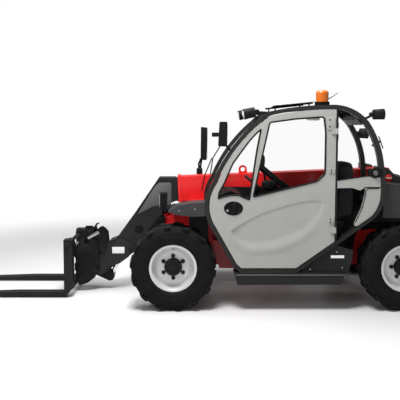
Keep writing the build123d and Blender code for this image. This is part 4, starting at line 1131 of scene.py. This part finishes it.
# ---- stage ----
FLOOR_REACH = 60.0
FLOOR_LOOKS = {"Base Color": (0.8, 0.795, 0.79, 1), "Roughness": 0.3, "Specular IOR Level": 0.3}
FLOOR_FADE = 3.0, 6.0  # metres from the middle where it turns plain white
WHITE = (1, 1, 1, 1)
SKY_LIGHT, SKY_SEEN = 0.27, 1.0  # the sky's strength as light and to the camera
LAMP_TARGET = Vector((0, 0, 0.8))
EYE_PLACE = at(204, -6705, 1800)
EYE_DOWN = 4.5  # degrees
EYE_LENS, EYE_SENSOR = 55.0, 36.0  # millimetres
EYE_SHIFT = 0.015, -0.065


class TELE_OT_stage(Operator):
    """A pale floor, soft lamps and the camera"""

    bl_idname = "telehandler.stage"
    bl_label = "Stage"

    def execute(self, context):
        self.floor(context.scene)
        self.world(context.scene)
        self.lamps(context.scene)
        self.camera(context.scene)
        return {"FINISHED"}

    def floor(self, scene):
        """A wide square that turns from paint to plain white light by a smooth step of the
        distance from its middle."""
        mesh = bpy.data.meshes.new("floor")
        corners = [(x * FLOOR_REACH, y * FLOOR_REACH, 0) for x, y in (
            (-1, -1), (1, -1), (1, 1), (-1, 1))]
        mesh.from_pydata(corners, [], [(0, 1, 2, 3)])
        floor = bpy.data.objects.new("floor", mesh)
        scene.collection.objects.link(floor)
        pale = bpy.data.materials.new("pale_floor")
        graph = Graph(pale)
        paint = graph.feed(graph.nodes["Principled BSDF"], FLOOR_LOOKS)
        place = graph.node("TexCoord").outputs["Object"]
        far = graph.join("VectorMath", {"operation": "LENGTH"}, place)["Value"]
        fade = graph.ranged(far, FLOOR_FADE, interpolation_type="SMOOTHSTEP")
        white = graph.node("Emission")
        surface = graph.join("MixShader", None, fade, paint.outputs[0], white.outputs[0])[0]
        graph.feed(graph.nodes["Material Output"], {"Surface": surface})
        mesh.materials.append(pale)

    def world(self, scene):
        """A white sky, stronger to the camera and through glass than as light."""
        scene.world = bpy.data.worlds.new("studio")
        graph = Graph(scene.world)
        graph.nodes.clear()
        light, seen = (graph.node("Background", Color=WHITE, Strength=strength).outputs[0]
                       for strength in (SKY_LIGHT, SKY_SEEN))
        ray = graph.node("LightPath").outputs
        direct = graph.join("Math", {"operation": "MAXIMUM"}, ray["Is Camera Ray"],
                            ray["Is Transmission Ray"])[0]
        graph.node("OutputWorld", Surface=graph.join("MixShader", None, direct, light, seen)[0])

    def lamps(self, scene):
        rows = [  # name, place, size, watts
            ("overhead", (0.0, 0.4, scene.telehandler_sizes.lamp_height), 4.0, 240),
            ("grazing", (-0.4, -2.3, 5.2), 1.4, 290),
            ("front", (-3.5, -7.0, 5.0), 3.0, 60),
        ]
        for name, place, size, watts in rows:
            lamp = bpy.data.lights.new(name, "AREA")
            lamp.size = size
            lamp.energy = watts
            obj = bpy.data.objects.new(name, lamp)
            scene.collection.objects.link(obj)
            obj.location = place
            obj.rotation_euler = (LAMP_TARGET - obj.location).to_track_quat("-Z", "Y").to_euler()

    def camera(self, scene):
        """The eye stands beside the machine, a little behind its front axle, and looks down."""
        lens = bpy.data.cameras.new("camera")
        lens.lens, lens.sensor_width = EYE_LENS, EYE_SENSOR
        lens.shift_x, lens.shift_y = EYE_SHIFT
        eye = bpy.data.objects.new("camera", lens)
        scene.collection.objects.link(eye)
        eye.location = EYE_PLACE
        eye.rotation_euler = (math.radians(90 - EYE_DOWN), 0, 0)
        scene.camera = eye
        scene.view_settings.view_transform = "Standard"


# ---- the add-on ----
STEPS = (TELE_OT_finishes, TELE_OT_tyres, TELE_OT_rims, TELE_OT_door, TELE_OT_cab,
         TELE_OT_lamps, TELE_OT_boom, TELE_OT_trim, TELE_OT_beacon, TELE_OT_seat,
         TELE_OT_stage)


class TELE_PT_panel(Panel):
    """Sizes, colours and one button for each group of pieces"""

    bl_idname = "TELE_PT_panel"
    bl_label = "Telehandler"
    bl_space_type = "VIEW_3D"
    bl_region_type = "UI"
    bl_category = "Telehandler"

    def draw(self, context):
        for group in (context.scene.telehandler_colours, context.scene.telehandler_sizes):
            for name in group.__annotations__:
                self.layout.prop(group, name)
        for step in STEPS:
            self.layout.operator(step.bl_idname)


CLASSES = (TelehandlerColours, TelehandlerSizes, *STEPS, TELE_PT_panel)


def register():
    for cls in CLASSES:
        bpy.utils.register_class(cls)
    bpy.types.Scene.telehandler_colours = PointerProperty(type=TelehandlerColours)
    bpy.types.Scene.telehandler_sizes = PointerProperty(type=TelehandlerSizes)


def unregister():
    del bpy.types.Scene.telehandler_sizes
    del bpy.types.Scene.telehandler_colours
    for cls in reversed(CLASSES):
        bpy.utils.unregister_class(cls)


def main():
    register()
    for step in STEPS:
        group, name = step.bl_idname.split(".")
        getattr(getattr(bpy.ops, group), name)()


if __name__ == "__main__":
    main()
